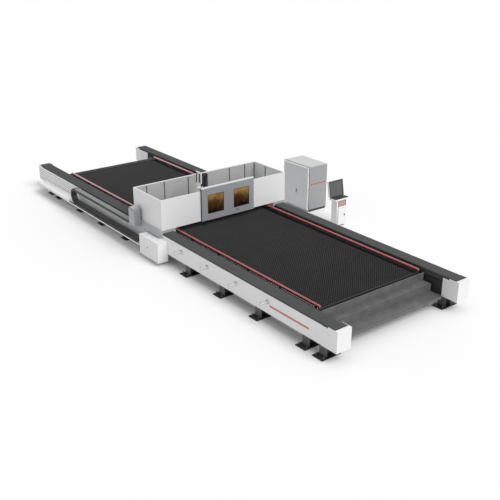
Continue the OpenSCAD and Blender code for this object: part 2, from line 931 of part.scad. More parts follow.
module console_keyboard() {
    rows = 6;
    cols = 18;
    x0 = 1880;
    y0 = 4290;
    color("#1f2022") union() {
        block([x0, x0 + 245], [y0, y0 + 710], [desk_z, desk_z + 14]);
        for (r = [0 : rows - 1], c = [0 : cols - 1])
            translate([x0 + 10 + r * 38.5, y0 + 12 + c * 38.5, desk_z + 13]) cube([32, 32, 9]);
    }
}

module console_door() {
    x = [con[2] + 2, con[2] + 20];
    y = [con[1] + 10, con[3] - 10];
    color("#f4f4f5") union() {
        difference() {
            block(x, y, [75, 825]);
            block([x[0] - 1, x[1] - 4], [y[0] + 12, y[1] - 12], [87, 813]);
            barrel_room(service_pin, service_zs, 7, -1);
        }
        leaf_barrels(service_pin, service_zs, 7);
        rod([x[1] - 1, 4755, 462], 9, 16, "x");
    }
}

// Turns a piece of the screen about its axis to the lean it has at rest
module leaned() {
    translate([tilt_x, 0, tilt_z]) rotate([0, -lean, 0]) translate([-tilt_x, 0, -tilt_z]) children();
}

module console_screen() {
    x = [tilt_x + 23, tilt_x + 60];
    z0 = tilt_z - 14;
    color("#e4e5e6") leaned() union() {
        difference() {
            block(x, screen_y, [z0, z0 + screen_h]);
            block([x[1] - 18, x[1] + 1], [screen_y[0] + 12, screen_y[1] - 12], [z0 + 12, z0 + screen_h - 12]);
        }
        block([tilt_x - 45, x[0] + 1], [screen_y[0] + 8, screen_y[1] - 8], [tilt_z + 30, z0 + screen_h - 8]);
        block([tilt_x - 14, x[0] + 1], [4500, 4900], [tilt_z - 8, tilt_z + 31]);
        rod([tilt_x, 4451, tilt_z], 498, 10, "y");
    }
}

module console_display() {
    x = tilt_x + 42;
    z0 = tilt_z - 14;
    color("#55585b") leaned()
        block([x, x + 12], [screen_y[0] + 12, screen_y[1] - 12], [z0 + 12, z0 + screen_h - 12]);
}

// ---------- one line per node ----------

beam_left();
beam_right();
side_panel_left();
side_panel_right();
end_caps();
guide_rail_left();
guide_rail_right();
legs_left();
legs_right();
bed_frame_near();
bed_frame_far();
slats_near();
slats_far();
edge_tubes();
steps_near();
steps_far();
cable_tray();
junction_box();
panel_stripe();
bellows_near_left();
bellows_near_right();
bellows_far_left();
bellows_far_right();
chain_lower();
chain_bend();
chain_upper();
damper_barrels();
damper_valve(0);  // damper_valve_1
damper_valve(1);  // damper_valve_2
damper_valve(2);  // damper_valve_3
damper_valve(3);  // damper_valve_4
saddle_left();
saddle_right();
gantry_beam();
x_drives();
enclosure_shell();
chain_bracket();
door_panel();
door_windows();
carriage_plate();
head_column();
hose_chain();
laser_head();
torch();
cross_chain_lower();
cross_chain_bend();
cross_chain_upper();
cabinet_body();
cabinet_plinth();
cabinet_door_left();
cabinet_door_right();
cabinet_handle();
cabinet_stripe();
console_body();
console_feet();
console_deck();
console_keyboard();
console_door();
console_screen();
console_display();
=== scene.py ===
import json
import math

import bmesh
import bpy
from bpy.props import FloatProperty, FloatVectorProperty, IntProperty, PointerProperty
from mathutils import Euler, Matrix, Vector


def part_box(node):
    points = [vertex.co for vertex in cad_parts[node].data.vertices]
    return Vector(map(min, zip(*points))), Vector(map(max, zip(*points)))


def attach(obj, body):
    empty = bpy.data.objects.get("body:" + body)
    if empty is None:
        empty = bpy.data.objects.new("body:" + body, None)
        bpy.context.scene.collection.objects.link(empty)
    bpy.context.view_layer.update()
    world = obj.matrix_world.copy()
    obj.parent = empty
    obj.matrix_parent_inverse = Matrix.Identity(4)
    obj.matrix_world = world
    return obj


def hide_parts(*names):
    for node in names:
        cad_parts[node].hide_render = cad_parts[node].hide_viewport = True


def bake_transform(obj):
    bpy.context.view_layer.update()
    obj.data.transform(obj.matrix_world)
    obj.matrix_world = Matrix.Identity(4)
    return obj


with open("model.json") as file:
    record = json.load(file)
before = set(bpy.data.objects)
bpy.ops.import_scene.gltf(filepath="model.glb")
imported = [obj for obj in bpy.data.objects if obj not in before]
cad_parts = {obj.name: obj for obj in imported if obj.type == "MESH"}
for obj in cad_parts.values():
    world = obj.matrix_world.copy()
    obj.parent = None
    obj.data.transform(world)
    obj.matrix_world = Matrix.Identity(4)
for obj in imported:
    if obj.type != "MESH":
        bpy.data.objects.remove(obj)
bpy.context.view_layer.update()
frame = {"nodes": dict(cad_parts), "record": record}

bl_info = {
    "name": "Plate cutting machine",
    "version": (1, 0, 0),
    "blender": (4, 5, 0),
    "location": "View3D > Sidebar > Cutting machine",
    "description": "Dresses a laser-flame plate cutting machine over its packed frame",
    "category": "Object",
}

NODES = frame["nodes"]

TUBES_LO, TUBES_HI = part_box("edge_tubes")
BELLOWS_LO, BELLOWS_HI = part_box("bellows_near_right")
LOWER_LO, LOWER_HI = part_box("chain_lower")
UPPER_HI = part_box("chain_upper")[1]
BEND_LO, BEND_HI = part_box("chain_bend")
SHELL_LO, SHELL_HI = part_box("enclosure_shell")
DOOR_LO, DOOR_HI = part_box("door_panel")
PANES_LO, PANES_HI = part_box("door_windows")
COLUMN_LO, COLUMN_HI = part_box("head_column")
LASER_LO, LASER_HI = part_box("laser_head")
TORCH_LO, TORCH_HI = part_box("torch")
CABINET_LO, CABINET_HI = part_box("cabinet_body")
LEAF_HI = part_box("cabinet_door_right")[1]
KEYS_LO, KEYS_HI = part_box("console_keyboard")
CAPS_LO, CAPS_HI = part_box("end_caps")
PANEL_LO, PANEL_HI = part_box("side_panel_right")
BOX_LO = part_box("junction_box")[0]
BARRELS_LO, BARRELS_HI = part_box("damper_barrels")


# ---------------------------------------------------------------- colours

def tone(code):
    """A linear RGBA colour from a #rrggbb code."""
    parts = [int(code[i:i + 2], 16) / 255 for i in (1, 3, 5)]
    linear = [c / 12.92 if c <= 0.04045 else ((c + 0.055) / 1.055) ** 2.4 for c in parts]
    return (*linear, 1.0)


# ---------------------------------------------------------------- shader groups

def shader_group(name, inputs, outputs):
    """An empty shader group; inputs and outputs are (name, kind, default) rows."""
    group = bpy.data.node_groups.new(name, "ShaderNodeTree")
    for label, kind, value in inputs:
        socket = group.interface.new_socket(label, in_out="INPUT", socket_type=kind)
        if value is not None:
            socket.default_value = value
    for label, kind in outputs:
        group.interface.new_socket(label, in_out="OUTPUT", socket_type=kind)
    source = group.nodes.new("NodeGroupInput")
    sink = group.nodes.new("NodeGroupOutput")
    return group, source, sink


def add_noise(nodes, links, vector, scale, detail=3.0, rough=0.55):
    """Adds cloudy noise and returns its value."""
    noise = nodes.new("ShaderNodeTexNoise")
    noise.inputs["Scale"].default_value = scale
    noise.inputs["Detail"].default_value = detail
    noise.inputs["Roughness"].default_value = rough
    links.new(vector, noise.inputs["Vector"])
    return noise.outputs["Fac"]


def add_range(nodes, links, value, lo, hi, to_lo=0.0, to_hi=1.0):
    """Maps a value from one range to another."""
    node = nodes.new("ShaderNodeMapRange")
    for key, number in zip(("From Min", "From Max", "To Min", "To Max"), (lo, hi, to_lo, to_hi)):
        node.inputs[key].default_value = number
    links.new(value, node.inputs["Value"])
    return node.outputs["Result"]


def add_math(nodes, links, kind, a, b):
    """A sum on two values or sockets."""
    node = nodes.new("ShaderNodeMath")
    node.operation = kind
    for socket, value in zip(node.inputs, (a, b)):
        if isinstance(value, (int, float)):
            socket.default_value = value
        else:
            links.new(value, socket)
    return node.outputs[0]


def add_mix(nodes, links, factor, a, b):
    """Mixes two colours by a factor."""
    node = nodes.new("ShaderNodeMix")
    node.data_type = "RGBA"
    for key, value in ((0, factor), (6, a), (7, b)):
        if isinstance(value, (int, float, tuple)):
            node.inputs[key].default_value = value
        else:
            links.new(value, node.inputs[key])
    return node.outputs[2]


def coat_group():
    """Paint: slow shade changes, dust in patches, varied gloss and fine orange peel."""
    group, source, sink = shader_group(
        "Painted coat",
        [("Vector", "NodeSocketVector", None), ("Color", "NodeSocketColor", (0.8, 0.8, 0.8, 1)),
         ("Dust Color", "NodeSocketColor", (0.5, 0.5, 0.5, 1)), ("Dust", "NodeSocketFloat", 0.1),
         ("Roughness", "NodeSocketFloat", 0.4), ("Peel Scale", "NodeSocketFloat", 260.0),
         ("Foot Color", "NodeSocketColor", (0.5, 0.5, 0.5, 1)), ("Foot Height", "NodeSocketFloat", -9.0)],
        [("Color", "NodeSocketColor"), ("Roughness", "NodeSocketFloat"), ("Height", "NodeSocketFloat")])
    nodes, links = group.nodes, group.links
    place = source.outputs["Vector"]
    split = nodes.new("ShaderNodeSeparateXYZ")
    links.new(place, split.inputs[0])
    foot = add_math(nodes, links, "LESS_THAN", split.outputs["Z"], source.outputs["Foot Height"])
    base = add_mix(nodes, links, foot, source.outputs["Color"], source.outputs["Foot Color"])
    slow = add_noise(nodes, links, place, 0.7, 3.0)
    patch = add_noise(nodes, links, place, 4.5, 6.0, 0.7)
    mask = add_math(nodes, links, "MULTIPLY", add_range(nodes, links, slow, 0.38, 0.62),
                    add_range(nodes, links, patch, 0.35, 0.7))
    mask = add_math(nodes, links, "MULTIPLY", mask, source.outputs["Dust"])
    links.new(add_mix(nodes, links, mask, base, source.outputs["Dust Color"]), sink.inputs["Color"])
    gloss = add_range(nodes, links, patch, 0.3, 0.7, -0.07, 0.07)
    links.new(add_math(nodes, links, "ADD", gloss, source.outputs["Roughness"]), sink.inputs["Roughness"])
    peel = nodes.new("ShaderNodeTexNoise")
    peel.inputs["Detail"].default_value = 2.0
    links.new(place, peel.inputs["Vector"])
    links.new(source.outputs["Peel Scale"], peel.inputs["Scale"])
    links.new(peel.outputs["Fac"], sink.inputs["Height"])
    return group


def scorch_group():
    """Slats that have been cut over: heat tint and spatter, with painted shade that darkens them towards
    their bottom between the slats and a painted highlight on their tips.
    """
    group, source, sink = shader_group(
        "Scorched steel",
        [("Vector", "NodeSocketVector", None), ("Color", "NodeSocketColor", (0.03, 0.03, 0.03, 1)),
         ("Tint", "NodeSocketColor", (0.06, 0.04, 0.03, 1)), ("Spatter", "NodeSocketFloat", 0.4),
         ("Depth Shade", "NodeSocketColor", (0.01, 0.01, 0.01, 1)),
         ("Tip Highlight", "NodeSocketColor", (0.12, 0.12, 0.12, 1)),
         ("Low", "NodeSocketFloat", 0.83), ("High", "NodeSocketFloat", 0.93)],
        [("Color", "NodeSocketColor"), ("Roughness", "NodeSocketFloat"), ("Height", "NodeSocketFloat")])
    nodes, links = group.nodes, group.links
    place = source.outputs["Vector"]
    blotch = add_noise(nodes, links, place, 1.1, 5.0, 0.6)
    fine = add_noise(nodes, links, place, 38.0, 4.0, 0.7)
    drops = nodes.new("ShaderNodeTexVoronoi")
    drops.inputs["Scale"].default_value = 55.0
    links.new(place, drops.inputs["Vector"])
    spots = add_range(nodes, links, drops.outputs["Distance"], 0.22, 0.12)
    spots = add_math(nodes, links, "MULTIPLY", spots, source.outputs["Spatter"])
    warm = add_mix(nodes, links, add_range(nodes, links, blotch, 0.42, 0.68),
                   source.outputs["Color"], source.outputs["Tint"])
    split = nodes.new("ShaderNodeSeparateXYZ")
    links.new(place, split.inputs[0])
    level = nodes.new("ShaderNodeMapRange")
    links.new(split.outputs["Z"], level.inputs["Value"])
    links.new(source.outputs["Low"], level.inputs["From Min"])
    links.new(source.outputs["High"], level.inputs["From Max"])
    height = level.outputs["Result"]
    steel = add_mix(nodes, links, spots, warm, (0.09, 0.088, 0.086, 1))
    # Painted shade low between the slats, where shade falls, and a painted highlight on the tips
    steel = add_mix(nodes, links, add_range(nodes, links, height, 0.1, 0.75), source.outputs["Depth Shade"], steel)
    links.new(add_mix(nodes, links, add_range(nodes, links, height, 0.72, 1.0), steel, source.outputs["Tip Highlight"]),
              sink.inputs["Color"])
    links.new(add_range(nodes, links, fine, 0.3, 0.7, 0.5, 0.78), sink.inputs["Roughness"])
    links.new(add_math(nodes, links, "ADD", spots, fine), sink.inputs["Height"])
    return group


def tread_group():
    """Raised bars of tread plate, crossing at right angles, with trodden shine."""
    group, source, sink = shader_group(
        "Tread plate",
        [("Vector", "NodeSocketVector", None), ("Color", "NodeSocketColor", (0.15, 0.15, 0.15, 1)),
         ("Worn Color", "NodeSocketColor", (0.25, 0.25, 0.25, 1)), ("Bar Scale", "NodeSocketFloat", 14.0)],
        [("Color", "NodeSocketColor"), ("Roughness", "NodeSocketFloat"), ("Height", "NodeSocketFloat")])
    nodes, links = group.nodes, group.links
    place = source.outputs["Vector"]
    bars = []
    for angle in (45, -45):
        turn = nodes.new("ShaderNodeMapping")
        turn.inputs["Rotation"].default_value = (0, 0, math.radians(angle))
        links.new(place, turn.inputs["Vector"])
        wave = nodes.new("ShaderNodeTexWave")
        wave.bands_direction = "X"
        links.new(turn.outputs["Vector"], wave.inputs["Vector"])
        links.new(source.outputs["Bar Scale"], wave.inputs["Scale"])
        bars.append(add_range(nodes, links, wave.outputs["Fac"], 0.78, 0.92))
    height = add_math(nodes, links, "MULTIPLY", bars[0], bars[1])
    patch = add_noise(nodes, links, place, 3.0, 5.0, 0.6)
    worn = add_math(nodes, links, "MULTIPLY", height, add_range(nodes, links, patch, 0.4, 0.7))
    shade = add_mix(nodes, links, add_range(nodes, links, patch, 0.35, 0.65), source.outputs["Color"],
                    source.outputs["Worn Color"])
    links.new(add_mix(nodes, links, worn, shade, source.outputs["Worn Color"]), sink.inputs["Color"])
    links.new(add_range(nodes, links, patch, 0.3, 0.7, 0.42, 0.6), sink.inputs["Roughness"])
    links.new(height, sink.inputs["Height"])
    return group


def weave_group():
    """Coated cloth: two crossed fine waves and a chalky bloom along the folds."""
    group, source, sink = shader_group(
        "Coated cloth",
        [("Vector", "NodeSocketVector", None), ("Color", "NodeSocketColor", (0.07, 0.07, 0.07, 1)),
         ("Bloom", "NodeSocketColor", (0.12, 0.12, 0.12, 1)), ("Thread Scale", "NodeSocketFloat", 180.0)],
        [("Color", "NodeSocketColor"), ("Roughness", "NodeSocketFloat"), ("Height", "NodeSocketFloat")])
    nodes, links = group.nodes, group.links
    place = source.outputs["Vector"]
    threads = []
    for direction in ("X", "Y"):
        wave = nodes.new("ShaderNodeTexWave")
        wave.bands_direction = direction
        links.new(place, wave.inputs["Vector"])
        links.new(source.outputs["Thread Scale"], wave.inputs["Scale"])
        threads.append(wave.outputs["Fac"])
    links.new(add_math(nodes, links, "MAXIMUM", *threads), sink.inputs["Height"])
    slow = add_noise(nodes, links, place, 1.6, 5.0, 0.65)
    links.new(add_mix(nodes, links, add_range(nodes, links, slow, 0.4, 0.66), source.outputs["Color"],
                      source.outputs["Bloom"]), sink.inputs["Color"])
    links.new(add_range(nodes, links, slow, 0.3, 0.7, 0.5, 0.7), sink.inputs["Roughness"])
    return group


def brushed_group():
    """Machined metal: long fine scratches along one axis and faint smudges."""
    group, source, sink = shader_group(
        "Brushed metal",
        [("Vector", "NodeSocketVector", None), ("Color", "NodeSocketColor", (0.5, 0.5, 0.5, 1)),
         ("Smudge", "NodeSocketColor", (0.4, 0.4, 0.4, 1)), ("Roughness", "NodeSocketFloat", 0.35)],
        [("Color", "NodeSocketColor"), ("Roughness", "NodeSocketFloat"), ("Height", "NodeSocketFloat")])
    nodes, links = group.nodes, group.links
    stretch = nodes.new("ShaderNodeMapping")
    stretch.inputs["Scale"].default_value = (30, 30, 900)
    links.new(source.outputs["Vector"], stretch.inputs["Vector"])
    scratch = add_noise(nodes, links, stretch.outputs["Vector"], 1.0, 2.0)
    smudge = add_noise(nodes, links, source.outputs["Vector"], 9.0, 4.0)
    links.new(add_mix(nodes, links, add_range(nodes, links, smudge, 0.42, 0.7), source.outputs["Color"],
                      source.outputs["Smudge"]), sink.inputs["Color"])
    rough = add_range(nodes, links, scratch, 0.3, 0.7, -0.08, 0.08)
    links.new(add_math(nodes, links, "ADD", rough, source.outputs["Roughness"]), sink.inputs["Roughness"])
    links.new(scratch, sink.inputs["Height"])
    return group


def fade_group():
    """Safety glass painted with light and shade: amber light above, nearly black shade below, with cloudy
    edges between.
    """
    group, source, sink = shader_group(
        "Amber fade",
        [("Vector", "NodeSocketVector", None), ("Top", "NodeSocketColor", (0.4, 0.2, 0.04, 1)),
         ("Middle", "NodeSocketColor", (0.1, 0.03, 0.01, 1)),
         ("Bottom", "NodeSocketColor", (0.01, 0.01, 0.01, 1)),
         ("Low", "NodeSocketFloat", 0.0), ("High", "NodeSocketFloat", 1.0)],
        [("Color", "NodeSocketColor"), ("Roughness", "NodeSocketFloat")])
    nodes, links = group.nodes, group.links
    split = nodes.new("ShaderNodeSeparateXYZ")
    links.new(source.outputs["Vector"], split.inputs[0])
    level = nodes.new("ShaderNodeMapRange")
    links.new(split.outputs["Z"], level.inputs["Value"])
    links.new(source.outputs["Low"], level.inputs["From Min"])
    links.new(source.outputs["High"], level.inputs["From Max"])
    cloud = add_noise(nodes, links, source.outputs["Vector"], 2.6, 3.0)
    shift = add_math(nodes, links, "ADD", level.outputs["Result"],
                     add_range(nodes, links, cloud, 0.3, 0.7, -0.22, 0.2))
    low = add_mix(nodes, links, add_range(nodes, links, shift, 0.05, 0.55), source.outputs["Bottom"],
                  source.outputs["Middle"])
    links.new(add_mix(nodes, links, add_range(nodes, links, shift, 0.45, 1.0), low, source.outputs["Top"]),
              sink.inputs["Color"])
    links.new(add_range(nodes, links, cloud, 0.3, 0.7, 0.1, 0.22), sink.inputs["Roughness"])
    return group


GROUPS = {}


def group_named(name):
    """Each shared shader group is built once."""
    makers = {"coat": coat_group, "scorch": scorch_group, "tread": tread_group,
              "weave": weave_group, "brushed": brushed_group, "fade": fade_group}
    if name not in GROUPS:
        GROUPS[name] = makers[name]()
    return GROUPS[name]


# ---------------------------------------------------------------- materials

def surface(name, group, values, bump=0.0, **shader):
    """A material whose colour, gloss and relief come from one shared group."""
    material = bpy.data.materials.new(name)
    material.use_nodes = True
    nodes, links = material.node_tree.nodes, material.node_tree.links
    principled = nodes["Principled BSDF"]
    place = nodes.new("ShaderNodeTexCoord")
    effect = nodes.new("ShaderNodeGroup")
    effect.node_tree = group_named(group)
    links.new(place.outputs["Object"], effect.inputs["Vector"])
    for key, value in values.items():
        effect.inputs[key].default_value = value
    links.new(effect.outputs["Color"], principled.inputs["Base Color"])
    links.new(effect.outputs["Roughness"], principled.inputs["Roughness"])
    if bump and "Height" in effect.outputs:
        relief = nodes.new("ShaderNodeBump")
        relief.inputs["Strength"].default_value = 0.5
        relief.inputs["Distance"].default_value = bump
        links.new(effect.outputs["Height"], relief.inputs["Height"])
        links.new(relief.outputs["Normal"], principled.inputs["Normal"])
    for key, value in shader.items():
        principled.inputs[key.replace("_", " ")].default_value = value
    return material


def painted(name, code, dust_code, dust=0.25, roughness=0.42, coat=0.15, foot_code="#808080", foot=-9.0):
    """A paint with dust on it; below the height foot it has another colour."""
    return surface(name, "coat", {"Color": tone(code), "Dust Color": tone(dust_code), "Dust": dust,
                                  "Roughness": roughness, "Foot Color": tone(foot_code), "Foot Height": foot},
                   bump=0.0006, Coat_Weight=coat)


def pale_reflection_along_x(material, code, start, end, amount):
    """Pales a painted material along X, from start to end, as a painted reflection: glossy paint looks paler
    where it is seen at a grazing angle.
    """
    nodes, links = material.node_tree.nodes, material.node_tree.links
    colour = nodes["Principled BSDF"].inputs["Base Color"]
    source = colour.links[0].from_socket
    split = nodes.new("ShaderNodeSeparateXYZ")
    links.new(nodes["Texture Coordinate"].outputs["Object"], split.inputs[0])
    factor = add_range(nodes, links, split.outputs["X"], start, end, 0.0, amount)
    links.new(add_mix(nodes, links, factor, source, tone(code)), colour)
    return material


def metal(name, code, smudge_code, roughness=0.35):
    """A machined or brushed metal."""
    return surface(name, "brushed", {"Color": tone(code), "Smudge": tone(smudge_code),
                                     "Roughness": roughness}, bump=0.0004, Metallic=1.0)


MATERIAL_MAKERS = {
    "beam_black": lambda: painted("beam_black", "#2b2b2d", "#3a3938", 0.5, 0.55, 0.05),
    "panel_white": lambda: painted("panel_white", "#eeeeef", "#d9d9d7", 0.3),
    "rail_steel": lambda: metal("rail_steel", "#a8abae", "#8a8c8e", 0.3),
    "foot_dark": lambda: painted("foot_dark", "#5d5e60", "#4e4e50", 0.5, 0.55, 0.0, "#202123", 0.03),
    # The slats' dark low colour is painted shade between the slats, and their light tip colour is a painted
    # highlight
    "slat_dark": lambda: surface("slat_dark", "scorch", {
        "Color": tone("#333333"), "Tint": tone("#3a3938"), "Spatter": 0.5, "Depth Shade": tone("#0c0c0c"),
        "Tip Highlight": tone("#666666")}, bump=0.004, Metallic=0.1),
    "signal_red": lambda: painted("signal_red", "#b5303c", "#a84a52", 0.35, 0.22, 1.0),
    # The tubes pale towards the far end, a painted reflection
    "tube_red": lambda: pale_reflection_along_x(painted("tube_red", "#a02c39", "#94434c", 0.38, 0.22, 1.0),
                              "#cfa0a6", 2.0, -6.0, 0.5),
    "plug_pink": lambda: painted("plug_pink", "#93777b", "#846a6e", 0.4),
    "step_grey": lambda: surface("step_grey", "tread", {
        "Color": tone("#5f5f60"), "Worn Color": tone("#6d6d6e"), "Bar Scale": 9.0}, bump=0.003, Metallic=0.2),
    "bellows_grey": lambda: surface("bellows_grey", "weave", {
        "Color": tone("#333434"), "Bloom": tone("#3c3d3d"), "Thread Scale": 160.0}, bump=0.0006),
    "chain_black": lambda: painted("chain_black", "#38393a", "#4c4c4b", 0.5, 0.5, 0.0),
    "cylinder_metal": lambda: painted("cylinder_metal", "#dadbd8", "#c6c7c4", 0.3, 0.35, 0.1),
    "saddle_grey": lambda: painted("saddle_grey", "#a8aaad", "#999b9d", 0.3),
    # A darker copy of the saddle's grey for the chain bracket, painted shade
    "bracket_shade_grey": lambda: painted("bracket_shade_grey", "#8b8d90", "#7e8082", 0.3),
    # A grey for the panel behind the chain, painted shade
    "chain_shade_paint": lambda: painted("chain_shade_paint", "#dcdddd", "#cbcccc", 0.4),
    "gantry_white": lambda: painted("gantry_white", "#e8e8e9", "#d9d9d8", 0.25),
    "drive_black": lambda: painted("drive_black", "#2a2b2d", "#3b3b3b", 0.4, 0.45, 0.1),
    "door_grey": lambda: painted("door_grey", "#96999d", "#8a8c90", 0.4, 0.38, 0.2),
    # The glass's amber top and dark bottom are painted light and shade
    "amber_glass": lambda: surface("amber_glass", "fade", {
        "Top": tone("#b58d4e"), "Middle": tone("#5a3c20"), "Bottom": tone("#140f0b"),
        "Low": PANES_LO.z, "High": PANES_HI.z}, Coat_Weight=0.6),
    "carriage_alu": lambda: metal("carriage_alu", "#b9bcbf", "#9ea0a3", 0.4),
    "torch_brass": lambda: metal("torch_brass", "#b9924c", "#94733c", 0.3),
    "cabinet_grey": lambda: painted("cabinet_grey", "#9e9fa0", "#929393", 0.35, 0.4, 0.2),
    "console_white": lambda: painted("console_white", "#eeeeef", "#dadad9", 0.25),
    "display_dark": lambda: painted("display_dark", "#4b4a4b", "#555355", 0.6, 0.22, 0.5),
    "rubber_black": lambda: painted("rubber_black", "#1b1b1c", "#2b2b2b", 0.4, 0.65, 0.0),
    "bolt_zinc": lambda: metal("bolt_zinc", "#b5b6b4", "#93938f", 0.35),
    "panel_grey": lambda: painted("panel_grey", "#b09a9e", "#a38d91", 0.4),
    # Pure white for rounded edges, a painted highlight
    "highlight_white": lambda: painted("highlight_white", "#ffffff", "#f6f6f6", 0.2),
    # Two greys of painted shade for the enclosure's inner walls
    "shade_lining_grey": lambda: painted("shade_lining_grey", "#b4b3b3", "#a4a3a3", 0.4),
    "shade_lining_white": lambda: painted("shade_lining_white", "#e4e5e6", "#d4d5d5", 0.4),
    "lid_grey": lambda: painted("lid_grey", "#bfc0c1", "#b1b2b2", 0.35, 0.4, 0.2),
    "post_grey": lambda: painted("post_grey", "#6f7173", "#5f6061", 0.4),
    # A paler grey for the upper chain's bars, a painted highlight
    "bar_lit_grey": lambda: painted("bar_lit_grey", "#7b7c7d", "#6f7071", 0.5, 0.5, 0.0),
    "leaf_grey": lambda: painted("leaf_grey", "#dddfe0", "#cdcfd0", 0.35, 0.4, 0.2),
}
MATERIALS = {}


def material(name):
    """Each material is made once, when a piece first asks for it."""
    if name not in MATERIALS:
        MATERIALS[name] = MATERIAL_MAKERS[name]()
    return MATERIALS[name]


# ---------------------------------------------------------------- mesh helpers

def add_box(bm, corner, opposite, bevel=0.0):
    """A box between two opposite corners, its edges rounded by bevel."""
    lo = Vector([min(pair) for pair in zip(corner, opposite)])
    hi = Vector([max(pair) for pair in zip(corner, opposite)])
    made = bmesh.ops.create_cube(bm, size=1.0)
    bmesh.ops.scale(bm, vec=hi - lo, verts=made["verts"])
    bmesh.ops.translate(bm, vec=(lo + hi) / 2, verts=made["verts"])
    if bevel:
        edges = list(dict.fromkeys(e for v in made["verts"] for e in v.link_edges))
        bmesh.ops.bevel(bm, geom=edges, offset=bevel, segments=2, profile=0.7, affect="EDGES")


def add_rod(bm, start, end, radius, sides=24, end_radius=None):
    """A cylinder or cone from one point to another."""
    start, end = Vector(start), Vector(end)
    along = end - start
    turn = along.to_track_quat("Z", "Y").to_matrix().to_4x4()
    place = Matrix.Translation((start + end) / 2) @ turn
    bmesh.ops.create_cone(bm, cap_ends=True, segments=sides, radius1=radius,
                          radius2=radius if end_radius is None else end_radius,
                          depth=along.length, matrix=place)


def add_frame(bm, lo, hi, width, axis=0, bevel=0.0):
    """A rectangular frame in the plane across the given axis."""
    a, b = [i for i in range(3) if i != axis]
    for low_side in (True, False):
        for along, across in ((a, b), (b, a)):
            p, q = list(lo), list(hi)
            if low_side:
                q[across] = lo[across] + width
            else:
                p[across] = hi[across] - width
            if along == b:
                p[along] += width
                q[along] -= width
            add_box(bm, p, q, bevel)


def add_wedge(bm, corners, along):
    """A prism from a flat outline, drawn out along a vector."""
    first = [bm.verts.new(p) for p in corners]
    last = [bm.verts.new(Vector(p) + Vector(along)) for p in corners]
    bm.faces.new(first)
    bm.faces.new(last[::-1])
    for i in range(len(corners)):
        j = (i + 1) % len(corners)
        bm.faces.new((first[i], first[j], last[j], last[i]))


def finish_mesh(bm, name):
    """Turns a bmesh into a mesh with outward faces."""
    bmesh.ops.recalc_face_normals(bm, faces=bm.faces)
    mesh = bpy.data.meshes.new(name)
    bm.to_mesh(mesh)
    bm.free()
    return mesh


def place(name, mesh, finish, body=None, slot=None, nodes=(), smooth=False):
    """Links a finished mesh as a piece, with its material, body and replaced nodes; its slot argument is not
    used.
    """
    piece = bpy.data.objects.new(name, mesh)
    bpy.context.scene.collection.objects.link(piece)
    if finish and not mesh.materials:
        mesh.materials.append(material(finish))
    if smooth:
        mesh.shade_smooth()
    if nodes:
        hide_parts(*nodes)
    if body:
        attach(piece, body)
    return piece


def trim(name, bm, finish, body, slot=None, smooth=False):
    """Places what a bmesh holds as a piece of trim that rides on a body."""
    return place(name, finish_mesh(bm, name), finish, body, slot, smooth=smooth)


def add_to_mesh(mesh, boxes, bevel):
    """Adds boxes, given as pairs of corners, to a finished mesh."""
    join = bmesh.new()
    join.from_mesh(mesh)
    for corner, opposite in boxes:
        add_box(join, corner, opposite, bevel)
    join.to_mesh(mesh)
    join.free()


def mirrored(mesh, axis):
    """A copy of a mesh mirrored across an axis, its faces still pointing outwards."""
    copy = mesh.copy()
    scale = [1, 1, 1]
    scale[axis] = -1
    copy.transform(Matrix.Diagonal((*scale, 1)))
    copy.flip_normals()
    return copy


# ---------------------------------------------------------------- geometry node helpers

def geometry_tree(name, inputs):
    """A Geometry Nodes tree with named inputs; inputs are (name, kind, default) rows."""
    tree = bpy.data.node_groups.new(name, "GeometryNodeTree")
    tree.interface.new_socket("Geometry", in_out="INPUT", socket_type="NodeSocketGeometry")
    for label, kind, value in inputs:
        socket = tree.interface.new_socket(label, in_out="INPUT", socket_type=kind)
        if value is not None:
            socket.default_value = value
    tree.interface.new_socket("Geometry", in_out="OUTPUT", socket_type="NodeSocketGeometry")
    return tree, tree.nodes.new("NodeGroupInput"), tree.nodes.new("NodeGroupOutput")


def node(tree, kind, settings=None, **sockets):
    """Adds a node; sockets are values or links, with _ for a space in a socket's name."""
    made = tree.nodes.new(kind)
    for key, value in (settings or {}).items():
        setattr(made, key, value)
    for key, value in sockets.items():
        socket = made.inputs[int(key[1:]) if key[0] == "i" and key[1:].isdigit() else key.replace("_", " ")]
        if isinstance(value, bpy.types.NodeSocket):
            tree.links.new(value, socket)
        else:
            socket.default_value = value
    return made


def calc(tree, operation, a, b=0.0):
    """A sum on two values or sockets."""
    return node(tree, "ShaderNodeMath", {"operation": operation}, i0=a, i1=b).outputs[0]


def vector(tree, x=0.0, y=0.0, z=0.0):
    """A vector from three values or sockets."""
    return node(tree, "ShaderNodeCombineXYZ", X=x, Y=y, Z=z).outputs[0]


def close_tree(tree, geometry, sink, finish):
    """Realizes the instances, sets the material and feeds the output."""
    real = node(tree, "GeometryNodeRealizeInstances", Geometry=geometry)
    painted_mesh = node(tree, "GeometryNodeSetMaterial", Geometry=real.outputs[0])
    painted_mesh.inputs["Material"].default_value = material(finish)
    tree.links.new(painted_mesh.outputs[0], sink.inputs[0])


def grow(name, tree, values, start=None):
    """Runs a tree on a start mesh and returns the result as a plain mesh."""
    holder = bpy.data.objects.new(name + "_start", start or bpy.data.meshes.new(name + "_start"))
    bpy.context.scene.collection.objects.link(holder)
    modifier = holder.modifiers.new("Nodes", "NODES")
    modifier.node_group = tree
    for item in tree.interface.items_tree:
        if item.in_out == "INPUT" and item.name in values:
            modifier[item.identifier] = values[item.name]
    bpy.context.view_layer.update()
    evaluated = holder.evaluated_get(bpy.context.evaluated_depsgraph_get())
    mesh = bpy.data.meshes.new_from_object(evaluated)
    mesh.name = name
    holder.modifiers.clear()
    bpy.data.objects.remove(holder)
    return mesh


